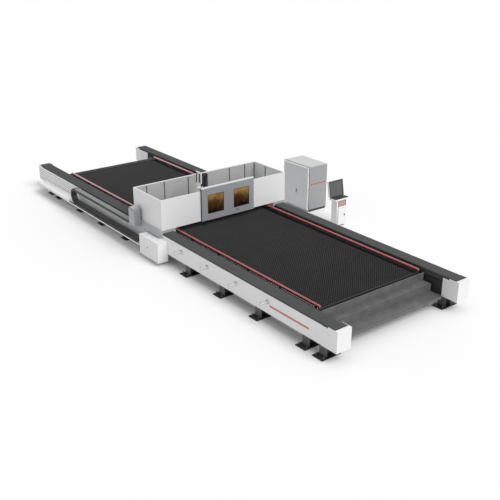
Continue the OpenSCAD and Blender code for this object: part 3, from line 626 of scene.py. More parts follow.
def slat_tree():
    """Toothed slats: a strip with a row of teeth, repeated along the bed."""
    tree, source, sink = geometry_tree("Toothed slats", [
        ("Slats", "NodeSocketInt", 90), ("Slat Pitch", "NodeSocketFloat", 0.1),
        ("Teeth", "NodeSocketInt", 40), ("Tooth Pitch", "NodeSocketFloat", 0.1),
        ("Strip Size", "NodeSocketVector", (0.008, 3.9, 0.05)),
        ("Tooth Size", "NodeSocketVector", (0.01, 0.08, 0.05)),
        ("First Slat", "NodeSocketVector", (0.0, 0.0, 0.0))])
    put = source.outputs
    strip = node(tree, "GeometryNodeMeshCube", Size=put["Strip Size"])
    size = node(tree, "ShaderNodeSeparateXYZ", Vector=put["Strip Size"])
    half_strip = calc(tree, "MULTIPLY", size.outputs["Z"], 0.5)
    tooth = node(tree, "GeometryNodeMeshCone", Vertices=4, Radius_Top=0.12, Radius_Bottom=0.7071, Depth=1.0)
    square = node(tree, "GeometryNodeTransform", Geometry=tooth.outputs[0],
                  Rotation=(0, 0, math.radians(45)))
    shaped = node(tree, "GeometryNodeTransform", Geometry=square.outputs[0], Scale=put["Tooth Size"],
                  Translation=vector(tree, z=half_strip))
    run = calc(tree, "MULTIPLY", calc(tree, "SUBTRACT", put["Teeth"], 1.0), put["Tooth Pitch"])
    row = node(tree, "GeometryNodeMeshLine", Count=put["Teeth"],
               Start_Location=vector(tree, y=calc(tree, "MULTIPLY", run, -0.5)),
               Offset=vector(tree, y=put["Tooth Pitch"]))
    teeth = node(tree, "GeometryNodeInstanceOnPoints", Points=row.outputs[0], Instance=shaped.outputs[0])
    one = node(tree, "GeometryNodeJoinGeometry")
    tree.links.new(teeth.outputs[0], one.inputs[0])
    tree.links.new(strip.outputs[0], one.inputs[0])
    line = node(tree, "GeometryNodeMeshLine", Count=put["Slats"], Start_Location=put["First Slat"],
                Offset=vector(tree, x=put["Slat Pitch"]))
    bed = node(tree, "GeometryNodeInstanceOnPoints", Points=line.outputs[0], Instance=one.outputs[0])
    close_tree(tree, bed.outputs[0], sink, "slat_dark")
    return tree


def bellows_tree():
    """A folded skin: rings of six points along X, every second ring drawn inwards."""
    tree, source, sink = geometry_tree("Bellows skin", [
        ("Folds", "NodeSocketInt", 100), ("Length", "NodeSocketFloat", 8.5),
        ("Width", "NodeSocketFloat", 0.46), ("Height", "NodeSocketFloat", 0.1),
        ("Corner", "NodeSocketFloat", 0.03), ("Fold Depth", "NodeSocketFloat", 0.03),
        ("Low Corner", "NodeSocketVector", (0, 0, 0))])
    put = source.outputs
    rings = calc(tree, "ADD", calc(tree, "MULTIPLY", put["Folds"], 2.0), 1.0)
    grid = node(tree, "GeometryNodeMeshGrid", Vertices_X=rings, Vertices_Y=6)
    index = node(tree, "GeometryNodeInputIndex").outputs[0]
    ring = calc(tree, "FLOOR", calc(tree, "DIVIDE", index, 6.0))
    side = calc(tree, "MODULO", index, 6.0)
    inward = calc(tree, "MULTIPLY", calc(tree, "MODULO", ring, 2.0), put["Fold Depth"])

    def is_side(*numbers):
        found = 0.0
        for number in numbers:
            near = calc(tree, "COMPARE", side, float(number))
            near.node.inputs[2].default_value = 0.5
            found = calc(tree, "ADD", near, found)
        return found

    x = calc(tree, "MULTIPLY", calc(tree, "DIVIDE", ring, calc(tree, "SUBTRACT", rings, 1.0)), put["Length"])
    right = is_side(3, 4, 5)
    y = calc(tree, "MULTIPLY", right, put["Width"])
    y = calc(tree, "ADD", y, calc(tree, "MULTIPLY", is_side(2), put["Corner"]))
    y = calc(tree, "SUBTRACT", y, calc(tree, "MULTIPLY", is_side(3), put["Corner"]))
    y = calc(tree, "ADD", y, calc(tree, "MULTIPLY", is_side(0, 1), inward))
    y = calc(tree, "SUBTRACT", y, calc(tree, "MULTIPLY", is_side(4, 5), inward))
    z = calc(tree, "MULTIPLY", is_side(1, 2, 3, 4), put["Height"])
    z = calc(tree, "SUBTRACT", z, calc(tree, "MULTIPLY", is_side(1, 4), put["Corner"]))
    z = calc(tree, "SUBTRACT", z, calc(tree, "MULTIPLY", is_side(2, 3), inward))
    spot = node(tree, "ShaderNodeVectorMath", {"operation": "ADD"}, i0=vector(tree, x, y, z),
                i1=put["Low Corner"])
    moved = node(tree, "GeometryNodeSetPosition", Geometry=grid.outputs[0], Position=spot.outputs[0])
    close_tree(tree, moved.outputs[0], sink, "bellows_grey")
    return tree


def link_tree(finish):
    """Places a link object along a path drawn in the XZ plane, facing along it."""
    tree, source, sink = geometry_tree("Chain links", [
        ("Link", "NodeSocketObject", None), ("Link Pitch", "NodeSocketFloat", 0.1)])
    put = source.outputs
    path = node(tree, "GeometryNodeMeshToCurve", Mesh=put["Geometry"])
    points = node(tree, "GeometryNodeCurveToPoints", {"mode": "LENGTH"}, Curve=path.outputs[0],
                  Length=put["Link Pitch"])
    turn = node(tree, "FunctionNodeAlignRotationToVector", {"axis": "X", "pivot_axis": "Y"},
                Vector=points.outputs["Tangent"])
    shape = node(tree, "GeometryNodeObjectInfo", Object=put["Link"])
    links = node(tree, "GeometryNodeInstanceOnPoints", Points=points.outputs[0],
                 Instance=shape.outputs["Geometry"], Rotation=turn.outputs[0])
    close_tree(tree, links.outputs[0], sink, finish)
    return tree


def bolt_tree(finish):
    """Hexagon heads on washers at the start mesh's vertices, along one axis."""
    tree, source, sink = geometry_tree("Bolt heads", [
        ("Radius", "NodeSocketFloat", 0.012), ("Height", "NodeSocketFloat", 0.008),
        ("Turn", "NodeSocketVector", (0, 0, 0))])
    put = source.outputs
    washer = node(tree, "GeometryNodeMeshCylinder", Vertices=16,
                  Radius=calc(tree, "MULTIPLY", put["Radius"], 1.5),
                  Depth=calc(tree, "MULTIPLY", put["Height"], 0.5))
    head = node(tree, "GeometryNodeMeshCylinder", Vertices=6, Radius=put["Radius"], Depth=put["Height"])
    raised = node(tree, "GeometryNodeTransform", Geometry=head.outputs[0],
                  Translation=vector(tree, z=calc(tree, "MULTIPLY", put["Height"], 0.6)))
    both = node(tree, "GeometryNodeJoinGeometry")
    tree.links.new(washer.outputs[0], both.inputs[0])
    tree.links.new(raised.outputs[0], both.inputs[0])
    bolts = node(tree, "GeometryNodeInstanceOnPoints", Points=put["Geometry"], Instance=both.outputs[0],
                 Rotation=put["Turn"])
    close_tree(tree, bolts.outputs[0], sink, finish)
    return tree


def key_tree():
    """A grid of slightly tapered keys."""
    tree, source, sink = geometry_tree("Keys", [
        ("Rows", "NodeSocketInt", 5), ("Columns", "NodeSocketInt", 14),
        ("Field", "NodeSocketVector", (0.15, 0.5, 0)),
        ("Key Size", "NodeSocketFloat", 0.03), ("Centre", "NodeSocketVector", (0, 0, 0))])
    put = source.outputs
    field = node(tree, "ShaderNodeSeparateXYZ", Vector=put["Field"])
    grid = node(tree, "GeometryNodeMeshGrid", Size_X=field.outputs["X"], Size_Y=field.outputs["Y"],
                Vertices_X=put["Rows"], Vertices_Y=put["Columns"])
    key = node(tree, "GeometryNodeMeshCone", Vertices=4,
               Radius_Top=calc(tree, "MULTIPLY", put["Key Size"], 0.58),
               Radius_Bottom=calc(tree, "MULTIPLY", put["Key Size"], 0.7), Depth=0.01)
    square = node(tree, "GeometryNodeTransform", Geometry=key.outputs[0], Rotation=(0, 0, math.radians(45)))
    moved = node(tree, "GeometryNodeTransform", Geometry=grid.outputs[0], Translation=put["Centre"])
    keys = node(tree, "GeometryNodeInstanceOnPoints", Points=moved.outputs[0], Instance=square.outputs[0])
    close_tree(tree, keys.outputs[0], sink, "chain_black")
    return tree


def bolts(name, points, direction, body, finish="bolt_zinc", radius=0.012, height=0.008):
    """One piece of bolt heads at the points, pointing along the direction."""
    start = bpy.data.meshes.new(name + "_points")
    start.from_pydata([tuple(p) for p in points], [], [])
    turn = Vector(direction).to_track_quat("Z", "Y").to_euler()
    mesh = grow(name, bolt_tree(finish), {"Radius": radius, "Height": height, "Turn": tuple(turn)}, start)
    return place(name, mesh, finish, body, slot=finish if finish in RECORD_SLOTS else "rail_steel")


RECORD_SLOTS = {row["slot"] for row in frame["record"]["materials"]}
# The chain bracket gets a darker grey, painted shade
OTHER_FINISH = {"edge_tubes": "tube_red", "chain_bracket": "bracket_shade_grey",
                "cabinet_door_left": "leaf_grey", "cabinet_door_right": "leaf_grey"}


# ---------------------------------------------------------------- settings

class BedSettings(bpy.types.PropertyGroup):
    """Sizes of the slats"""
    slat_pitch: FloatProperty(name="Slat pitch", description="Distance from slat to slat", default=0.082,
                              min=0.05, unit="LENGTH")
    tooth_pitch: FloatProperty(name="Tooth pitch", description="Distance from tooth to tooth along a slat",
                               default=0.085, min=0.03, unit="LENGTH")
    tooth_height: FloatProperty(name="Tooth height", description="Height of the teeth", default=0.045,
                                unit="LENGTH")


class CoverSettings(bpy.types.PropertyGroup):
    """Sizes of the bellows and the drag chain"""
    fold_pitch: FloatProperty(name="Fold pitch", description="Length of one bellows fold", default=0.072,
                              min=0.03, unit="LENGTH")
    fold_depth: FloatProperty(name="Fold depth", description="How far a fold is drawn in", default=0.018,
                              unit="LENGTH")
    skin: FloatProperty(name="Skin", description="Thickness of the bellows skin", default=0.004,
                        unit="LENGTH")
    link_pitch: FloatProperty(name="Link pitch", description="Length of one drag chain link", default=0.128,
                              min=0.05, unit="LENGTH")


class StageSettings(bpy.types.PropertyGroup):
    """The camera, the lights and the keys"""
    azimuth: FloatProperty(name="Azimuth", description="Direction the camera looks from", subtype="ANGLE",
                           default=math.radians(52.624))
    elevation: FloatProperty(name="Elevation", description="Height angle of the camera", subtype="ANGLE",
                             default=math.radians(22.882))
    camera: FloatVectorProperty(name="Camera", description="Place of the camera", subtype="TRANSLATION",
                                default=(21.803, -14.872, 10.568))
    lens: FloatProperty(name="Lens", description="Focal length of the camera, in millimetres", default=54.19)
    floor_color: FloatVectorProperty(name="Floor colour", description="Colour of the floor", subtype="COLOR",
                                     size=3, min=0, max=1, default=(0.70, 0.70, 0.70))
    ambient: FloatProperty(name="Ambient light", description="Strength of the light from all round",
                           default=0.60)
    key: FloatProperty(name="Key light", description="Strength of the soft key light", default=1.93)
    rows: IntProperty(name="Key rows", description="Rows of keys on the console", default=6, min=1)


# ---------------------------------------------------------------- operators

class CUTTER_OT_paint(bpy.types.Operator):
    """Gives every solid of the frame the finish of its slot"""
    bl_idname = "cutter.paint"
    bl_label = "Paint the frame"

    def execute(self, context):
        for row in frame["record"]["subparts"]:
            mesh = NODES[row["node"]].data
            mesh.materials.clear()
            mesh.materials.append(material(OTHER_FINISH.get(row["node"], row["material_slot"])))
        return {"FINISHED"}


class CUTTER_OT_slats(bpy.types.Operator):
    """Lays toothed slats and their carrier bars in both halves of the bed"""
    bl_idname = "cutter.slats"
    bl_label = "Slats"

    def execute(self, context):
        bed = context.scene.cutter_bed
        height, thickness = 0.1, 0.008
        first_gap, last_gap = 0.045, 0.03
        tooth_fill = 0.92
        bar_places, bar_half = (-1.9, 0.0, 1.9), 0.02
        tree = slat_tree()
        for end in ("near", "far"):
            lo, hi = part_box("slats_" + end)
            start, stop = sorted((abs(lo.x), abs(hi.x)))
            bottom, width = hi.z - height, hi.y - lo.y
            strip = hi.z - bottom - bed.tooth_height
            first = start + first_gap
            mesh = grow("slats_" + end + "_toothed", tree, {
                "Slats": int((stop - last_gap - first) / bed.slat_pitch) + 1, "Slat Pitch": bed.slat_pitch,
                "Teeth": int((width - last_gap) / bed.tooth_pitch), "Tooth Pitch": bed.tooth_pitch,
                "Strip Size": (thickness, width, strip),
                "Tooth Size": (thickness, bed.tooth_pitch * tooth_fill, bed.tooth_height),
                "First Slat": (first, 0.0, bottom + strip / 2)})
            add_to_mesh(mesh, [((start, y - bar_half, lo.z), (stop, y + bar_half, bottom + 0.002))
                               for y in bar_places], 0.002)
            if end == "far":
                mesh = mirrored(mesh, 0)
            place("slats_" + end + "_toothed", mesh, "slat_dark", "base", nodes=("slats_" + end,))
        return {"FINISHED"}


class CUTTER_OT_tubes(bpy.types.Operator):
    """Closes the red edge tubes with pale end plugs"""
    bl_idname = "cutter.tubes"
    bl_label = "Tube plugs"

    def execute(self, context):
        inside, proud, clearance = 0.02, 0.006, 0.003
        radius = (TUBES_HI.z - TUBES_LO.z) / 2
        z = (TUBES_HI.z + TUBES_LO.z) / 2
        bm = bmesh.new()
        for sx in (-1, 1):
            for sy in (-1, 1):
                y = sy * (TUBES_HI.y - radius)
                end = TUBES_HI.x if sx > 0 else TUBES_LO.x
                add_rod(bm, (end - sx * inside, y, z), (end + sx * proud, y, z), radius - clearance, 32)
        trim("tube_plugs", bm, "plug_pink", "base", slot="cylinder_metal")
        return {"FINISHED"}


class CUTTER_OT_bellows(bpy.types.Operator):
    """Folds the four bellows over the guide rails"""
    bl_idname = "cutter.bellows"
    bl_label = "Bellows"

    def execute(self, context):
        cover = context.scene.cutter_cover
        foot, panel_edge, skirt = 0.865, 1.001, 0.03
        corner = 0.022
        tree = bellows_tree()
        low = Vector((BELLOWS_LO.x, BELLOWS_LO.y, foot))
        length = BELLOWS_HI.x - BELLOWS_LO.x
        mesh = grow("bellows", tree, {
            "Folds": round(length / cover.fold_pitch), "Length": length,
            "Width": BELLOWS_HI.y - BELLOWS_LO.y, "Height": BELLOWS_HI.z - low.z,
            "Corner": corner, "Fold Depth": cover.fold_depth, "Low Corner": tuple(low)})
        shell = bmesh.new()
        shell.from_mesh(mesh)
        for vertex in shell.verts:
            if vertex.co.y > BELLOWS_HI.y - skirt:
                vertex.co.z = max(vertex.co.z, panel_edge)
        bmesh.ops.recalc_face_normals(shell, faces=shell.faces)
        up = [f for f in shell.faces if abs(f.normal.z) > 0.3 and f.calc_center_median().z > 1.0]
        if up and up[0].normal.z < 0:
            bmesh.ops.reverse_faces(shell, faces=shell.faces)
        bmesh.ops.solidify(shell, geom=shell.faces[:], thickness=cover.skin)
        shell.to_mesh(mesh)
        shell.free()
        places = {"near_right": (1, 1), "near_left": (1, -1), "far_right": (-1, 1), "far_left": (-1, -1)}
        for name, (sx, sy) in places.items():
            copy = mesh.copy()
            copy.transform(Matrix.Diagonal((sx, sy, 1, 1)))
            if sx * sy < 0:
                copy.flip_normals()
            piece = place("bellows_" + name + "_folds", copy, "bellows_grey", nodes=("bellows_" + name,))
            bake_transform(piece)
        return {"FINISHED"}


def make_link(length, height, width, bar=0.30):
    """One chain link: two waisted side plates with pin bosses, and crossbars above and below."""
    bm = bmesh.new()
    plate, pin, boss = width * 0.06, length * 0.42, height * 0.4
    long_half, high_half = length * 0.36, height * 0.46
    for side in (-1, 1):
        y = side * (width / 2 - plate / 2)
        add_box(bm, (-long_half, y - plate / 2, -high_half), (long_half, y + plate / 2, high_half),
                height * 0.06)
        outer = y + side * plate * 0.35
        add_rod(bm, (pin, outer - plate / 2, 0), (pin, outer + plate / 2, 0), boss, 16)
        add_rod(bm, (-pin, y - plate / 2, 0), (-pin, y + plate / 2, 0), boss, 16)
        add_rod(bm, (pin, outer, 0), (pin, outer + side * plate * 0.8, 0), height * 0.12, 12)
    for z in (-height * 0.44, height * 0.44):
        add_box(bm, (-length * bar, -width / 2 + plate, z - height * 0.05),
                (length * bar, width / 2 - plate, z + height * 0.05), height * 0.02)
    link = bpy.data.objects.new("link_pattern", finish_mesh(bm, "link"))
    bpy.context.scene.collection.objects.link(link)
    return link


def paint_bars(mesh, middle, half, finish="bar_lit_grey"):
    """Gives the crossbars, which lie inside the side plates, a paler grey as a painted highlight on the top
    of the upper run.
    """
    mesh.materials.append(material(finish))
    for face in mesh.polygons:
        if abs(face.center.y - middle) < half:
            face.material_index = len(mesh.materials) - 1


def path_mesh(points):
    """A mesh of edges that joins the points in turn."""
    mesh = bpy.data.meshes.new("path")
    mesh.from_pydata(points, [(i, i + 1) for i in range(len(points) - 1)], [])
    return mesh


def arc_points(cx, cz, radius, steps=48):
    """Half a circle open to +X, from its lowest to its highest point."""
    return [(cx - radius * math.sin(math.pi * i / steps), 0.0, cz - radius * math.cos(math.pi * i / steps))
            for i in range(steps + 1)]


class CUTTER_OT_drag_chain(bpy.types.Operator):
    """Makes the drag chain of the long axis from links, with plates and strips of painted light and shade
    round it
    """
    bl_idname = "cutter.drag_chain"
    bl_label = "Drag chain"

    def execute(self, context):
        cover = context.scene.cutter_cover
        height = LOWER_HI.z - LOWER_LO.z
        width = LOWER_HI.y - LOWER_LO.y
        middle = (LOWER_LO.y + LOWER_HI.y) / 2
        low, high = LOWER_LO.z + height / 2, UPPER_HI.z - height / 2
        end_gap, joint_gap = 0.06, 0.03
        tree = link_tree("chain_black")
        link = make_link(cover.link_pitch, height, width * 0.94, 0.47)
        bend_x = BEND_HI.x
        runs = {
            "chain_lower": [(LOWER_HI.x - end_gap, 0, low), (bend_x + joint_gap, 0, low)],
            "chain_bend": arc_points(bend_x, (low + high) / 2, (high - low) / 2),
            "chain_upper": [(bend_x + joint_gap, 0, high), (UPPER_HI.x - end_gap, 0, high)],
        }
        for name, points in runs.items():
            mesh = grow(name + "_links", tree, {"Link": link, "Link Pitch": cover.link_pitch},
                        path_mesh(points))
            mesh.transform(Matrix.Translation((0, middle, 0)))
            # Painted highlight: only the upper run, lit from above, gets paler bars; the lower run and the
            # bend stay dark
            if name == "chain_upper":
                paint_bars(mesh, middle, width * 0.41)
            piece = place(name + "_links", mesh, "chain_black", nodes=(name,))
            if name == "chain_bend":
                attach(piece, "chain_loop")
            elif name == "chain_lower":
                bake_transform(piece)
            else:
                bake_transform(piece)
        bpy.data.objects.remove(link)
        self.bracket_cover()
        self.tray_plates()
        return {"FINISHED"}

    def bracket_cover(self):
        """Pale plates on the bracket's top and outer face, a painted highlight over the bracket's darker
        grey, which is painted shade.
        """
        lo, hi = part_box("chain_bracket")
        edge = 0.062
        bm = bmesh.new()
        add_box(bm, (lo.x + edge, lo.y + 0.002, hi.z - 0.001),
                (hi.x - edge, lo.y + 0.24, hi.z + 0.003), 0.001)
        add_box(bm, (lo.x + 0.005, lo.y - 0.003, lo.z + 0.01),
                (hi.x - 0.005, lo.y + 0.001, hi.z - edge), 0.001)
        trim("chain_bracket_cover", bm, "saddle_grey", "gantry")

    def tray_plates(self):
        """A greyer plate of painted shade behind the chain, and dark strips of painted shade on the tray's
        lip and along the side panel's top under the bellows.
        """
        tray_lo, tray_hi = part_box("cable_tray")
        wall = -PANEL_HI.y
        inner_end = -0.02
        bm = bmesh.new()
        # Painted shade: a greyer plate where the white panel lies in shade inside the chain's loop
        add_box(bm, (BEND_LO.x - 0.3, wall - 0.012, tray_hi.z), (inner_end, wall, PANEL_HI.z), 0.001)
        trim("chain_back_plate", bm, "chain_shade_paint", "base", slot="panel_white")
        bm = bmesh.new()
        # Painted shade: dark strips along the tray's lip and along the panel's top edge under the bellows
        add_box(bm, (BEND_LO.x, tray_lo.y - 0.003, tray_hi.z - 0.05),
                (inner_end, tray_lo.y + 0.003, tray_hi.z + 0.003), 0.001)
        add_box(bm, (BEND_HI.x, wall - 0.03, PANEL_HI.z + 0.0005),
                (SHELL_LO.x + 0.1, wall + 0.02, PANEL_HI.z + 0.004))
        trim("chain_tray_edge", bm, "rubber_black", "base", slot="chain_black")


class CUTTER_OT_cross_chain(bpy.types.Operator):
    """Makes the small drag chain that follows the carriage"""
    bl_idname = "cutter.cross_chain"
    bl_label = "Cross chain"

    def execute(self, context):
        low_lo, low_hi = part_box("cross_chain_lower")
        up_lo, up_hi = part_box("cross_chain_upper")
        bend_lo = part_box("cross_chain_bend")[0]
        height = low_hi.z - low_lo.z
        width = low_hi.x - low_lo.x
        low, high = low_lo.z + height / 2, up_hi.z - height / 2
        middle = (low_lo.x + low_hi.x) / 2
        pitch, end_gap, joint_gap = 0.058, 0.03, 0.01
        tree = link_tree("chain_black")
        link = make_link(pitch, height, width * 0.92)
        # Drawn along X and turned a quarter, so that the path runs across the machine
        bend = -bend_lo.y
        runs = {
            "cross_chain_lower": [(-low_lo.y - end_gap, 0, low), (bend + joint_gap, 0, low)],
            "cross_chain_bend": arc_points(bend, (low + high) / 2, (high - low) / 2, 24),
            "cross_chain_upper": [(bend + joint_gap, 0, high), (-up_lo.y - end_gap, 0, high)],
        }
        turn = Matrix.Translation((middle, 0, 0)) @ Matrix.Rotation(math.radians(-90), 4, "Z")
        for name, points in runs.items():
            mesh = grow(name + "_links", tree, {"Link": link, "Link Pitch": pitch}, path_mesh(points))
            mesh.transform(turn)
            piece = place(name + "_links", mesh, "chain_black", nodes=(name,))
            if name == "cross_chain_bend":
                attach(piece, "cross_loop")
            elif name == "cross_chain_lower":
                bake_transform(piece)
            else:
                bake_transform(piece)
        bpy.data.objects.remove(link)
        return {"FINISHED"}


class CUTTER_OT_hose_arch(bpy.types.Operator):
    """Makes the arched hose chain beside the laser's column, with its hoses"""
    bl_idname = "cutter.hose_arch"
    bl_label = "Hose arch"

    def execute(self, context):
        lo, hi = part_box("hose_chain")
        radius, thick, width = 0.13, 0.10, 0.175
        middle_y = hi.y - radius
        top, pitch, set_back = 2.545, 0.07, 0.012
        x = hi.x - width / 2 - set_back
        tree = link_tree("chain_black")
        link = make_link(pitch, thick, width * 0.88, 0.4)
        centre = radius - thick / 2
        # The left leg, the arch and the longer right leg, drawn in XZ and turned a quarter
        left_foot, right_foot = 2.18, 1.93
        points = [(-centre, 0, left_foot)]
        points += [(-centre * math.cos(math.pi * i / 24), 0, top + centre * math.sin(math.pi * i / 24))
                   for i in range(25)]
        points.append((centre, 0, right_foot))
        mesh = grow("hose_arch_links", tree, {"Link": link, "Link Pitch": pitch}, path_mesh(points))
        mesh.transform(Matrix.Translation((x, middle_y, 0)) @ Matrix.Rotation(math.radians(90), 4, "Z"))
        place("hose_arch_links", mesh, "chain_black", "carriage", nodes=("hose_chain",))
        bpy.data.objects.remove(link)
        bm = bmesh.new()
        for offset in (-0.05, -0.025, 0.0, 0.025, 0.05):
            path = [Vector((x + offset, middle_y + px, pz)) for px, _, pz in points]
            for start, end in zip(path, path[1:]):
                add_rod(bm, start, end, 0.011, 10)
        self.straight_hose(bm, lo.x + 0.02, lo.y + 0.02, 2.3, hi.z)
        for low, high in (((0.3655, -0.699, 2.181), (0.3675, -0.657, 2.2985)),
                          ((0.344, -0.442, 2.45), (0.368, -0.418, 2.64))):
            add_box(bm, low, high, 0.001)
        trim("hose_arch_hoses", bm, "rubber_black", "carriage", slot="chain_black", smooth=True)
        return {"FINISHED"}

    def straight_hose(self, bm, x, y, foot, head):
        """An upright hose with ribs round it."""
        radius, rib_radius, rib, rib_pitch = 0.018, 0.0205, 0.008, 0.0155
        add_rod(bm, (x, y, foot), (x, y, head), radius, 16)
        for i in range(24):
            z = foot + rib / 2 + i * rib_pitch
            add_rod(bm, (x, y, z), (x, y, z + rib), rib_radius, 16)


class CUTTER_OT_shell(bpy.types.Operator):
    """Lines the enclosure's walls with sheets of painted shade, darker on the back wall, and adds their posts
    and screws
    """
    bl_idname = "cutter.shell"
    bl_label = "Enclosure"

    def execute(self, context):
        wall, skin, proud = 0.04, 0.003, 0.001
        low, high = SHELL_LO.z + 0.01, SHELL_HI.z - 0.02
        back, front, side = SHELL_LO.x + wall, SHELL_HI.x - wall, SHELL_HI.y - wall
        door_edge = 1.25
        # Painted shade: grey linings darken the inside of the enclosure, where shade falls; the back wall's
        # is darker than the sides'
        bm = bmesh.new()
        add_box(bm, (back - proud, -side, low), (back + skin, side, high))
        trim("enclosure_lining_back", bm, "shade_lining_grey", "gantry", slot="gantry_white")
        bm = bmesh.new()
        for s in (-1, 1):
            add_box(bm, (back, s * side, low), (front, s * (side - skin), high))
            add_box(bm, (front - skin, s * side, low), (front + proud, s * door_edge, high))
        trim("enclosure_lining_sides", bm, "shade_lining_white", "gantry", slot="gantry_white")
        self.posts(back, front, side, low, high - 0.004)
        self.screws()
        return {"FINISHED"}

    def posts(self, back, front, side, low, high):
        """Posts along the back wall, one in each side wall and one in each corner."""
        half, depth, corner = 0.0165, 0.0265, 0.0315
        side_x = -0.185
        bm = bmesh.new()
        for y in (0.43, 1.46, 2.2):
            for s in (-1, 1):
                add_box(bm, (back, s * y - half, low), (back + depth, s * y + half, high), 0.001)
        for s in (-1, 1):
            add_box(bm, (side_x - half, s * side, low), (side_x + half, s * (side - depth), high), 0.001)
            for x in (back, front - corner):
                add_box(bm, (x, s * side, low), (x + corner, s * (side - corner), high), 0.001)
        trim("enclosure_posts", bm, "post_grey", "gantry", slot="gantry_white")

    def screws(self):
        """Two rows of screws on the front wall and one row on the side wall."""
        rim, radius, height = 0.03, 0.009, 0.004
        points = [(SHELL_HI.x + 0.001, y, z) for z in (SHELL_LO.z + rim, SHELL_HI.z - rim)
                  for y in (-2.6, -2.1, -1.6, 1.6, 2.1, 2.6)]
        bolts("enclosure_screws_front", points, (1, 0, 0), "gantry", "gantry_white", radius, height)
        points = [(x, SHELL_LO.y - 0.001, SHELL_LO.z + rim) for x in (-0.8, -0.4, 0.0, 0.4, 0.8)]
        bolts("enclosure_screws_side", points, (0, -1, 0), "gantry", "gantry_white", radius, height)


class CUTTER_OT_door(bpy.types.Operator):
    """Adds the sliding door's white rim, a dark strip of painted shade on its side, window gaskets and pull
    """
    bl_idname = "cutter.door"
    bl_label = "Sliding door"

    def execute(self, context):
        front = PANES_HI.x + 0.006
        rim, overlap = 0.035, 0.004
        bm = bmesh.new()
        add_box(bm, (front - 0.05, DOOR_LO.y - overlap, DOOR_HI.z - rim),
                (front + 0.004, DOOR_HI.y + overlap, DOOR_HI.z + overlap), 0.003)
        trim("door_rim", bm, "gantry_white", "sliding_door")
        bm = bmesh.new()
        # Painted shade: a dark strip on the door's side face, where the gap beside the door lies in shadow
        add_box(bm, (front - 0.044, DOOR_LO.y - 0.012, DOOR_LO.z),
                (front - 0.012, DOOR_LO.y + 0.001, DOOR_HI.z - 0.04), 0.003)
        middle = (PANES_LO.y + PANES_HI.y) / 2
        inset, half, lip = 0.02, 0.345, 0.004
        for s in (-1, 1):
            centre = middle + s * ((PANES_HI.y - PANES_LO.y) / 2 - half - inset)
            add_frame(bm, (front - 0.006, centre - half - lip, PANES_LO.z + inset - lip),
                      (front + 0.003, centre + half + lip, PANES_HI.z - inset + lip), 0.014, 0, 0.001)
        trim("door_gaskets", bm, "rubber_black", "sliding_door", slot="door_grey")
        bm = bmesh.new()
        y, z = middle + 0.385, 1.3
        add_rod(bm, (front - 0.001, y, z), (front + 0.012, y, z), 0.034, 32)
        add_rod(bm, (front + 0.01, y, z), (front + 0.03, y, z), 0.02, 32, 0.024)
        trim("door_pull", bm, "bolt_zinc", "sliding_door", slot="door_grey")
        return {"FINISHED"}


class CUTTER_OT_heads(bpy.types.Operator):
    """Adds guards to the column, rings and a brass nozzle to the laser head, and valves to the torch"""
    bl_idname = "cutter.heads"
    bl_label = "Cutting heads"

    def execute(self, context):
        self.guards()
        self.laser_trim()
        self.torch_valves()
        return {"FINISHED"}

    def guards(self):
        """Two pleated guards over the slides of the laser's axis."""
        face, foot, pleat, pleat_pitch = COLUMN_HI.x, 1.905, 0.0062, 0.0087
        bm = bmesh.new()
        for offset in (0.02, 0.14):
            y = COLUMN_LO.y + offset
            for i in range(28):
                z = foot + i * pleat_pitch
                add_box(bm, (face - 0.02, y + 0.001, z), (face - 0.004, y + 0.029, z + pleat))
        trim("axis_guards", bm, "rubber_black", "carriage", slot="chain_black")

    def laser_trim(self):
        """Rings and connectors of the laser head, and its nozzle."""
        x, y = LASER_HI.x - 0.06, (LASER_LO.y + LASER_HI.y) / 2
        bm = bmesh.new()
        for z, radius in ((1.24, 0.0625), (1.36, 0.0625), (1.5, 0.0625), (1.585, 0.0625), (1.70, 0.049)):
            add_rod(bm, (x, y, z), (x, y, z + 0.012), radius, 40)
        add_rod(bm, (x + 0.05, y, 1.44), (x + 0.085, y, 1.44), 0.012, 16)
        add_rod(bm, (x + 0.05, y, 1.3), (x + 0.08, y, 1.3), 0.01, 16)
        trim("laser_rings", bm, "drive_black", "laser")
        bm = bmesh.new()
        add_rod(bm, (x, y, LASER_LO.z - 0.004), (x, y, LASER_LO.z + 0.022), 0.0095, 24, 0.013)
        trim("laser_nozzle", bm, "torch_brass", "laser")

    def torch_valves(self):
        """Three hand valves round the torch's head."""
        centre = Vector((TORCH_HI.x - 0.026, (TORCH_LO.y + TORCH_HI.y) / 2, 1.7))
        bm = bmesh.new()
        for turn in (0, 120, 240):
            a = math.radians(turn)
            out = Vector((math.cos(a), math.sin(a), 0))
            add_rod(bm, centre + out * 0.024, centre + out * 0.05, 0.006, 10)
            add_rod(bm, centre + out * 0.045, centre + out * 0.056, 0.014, 12)
        trim("torch_valves", bm, "signal_red", "torch_lift")


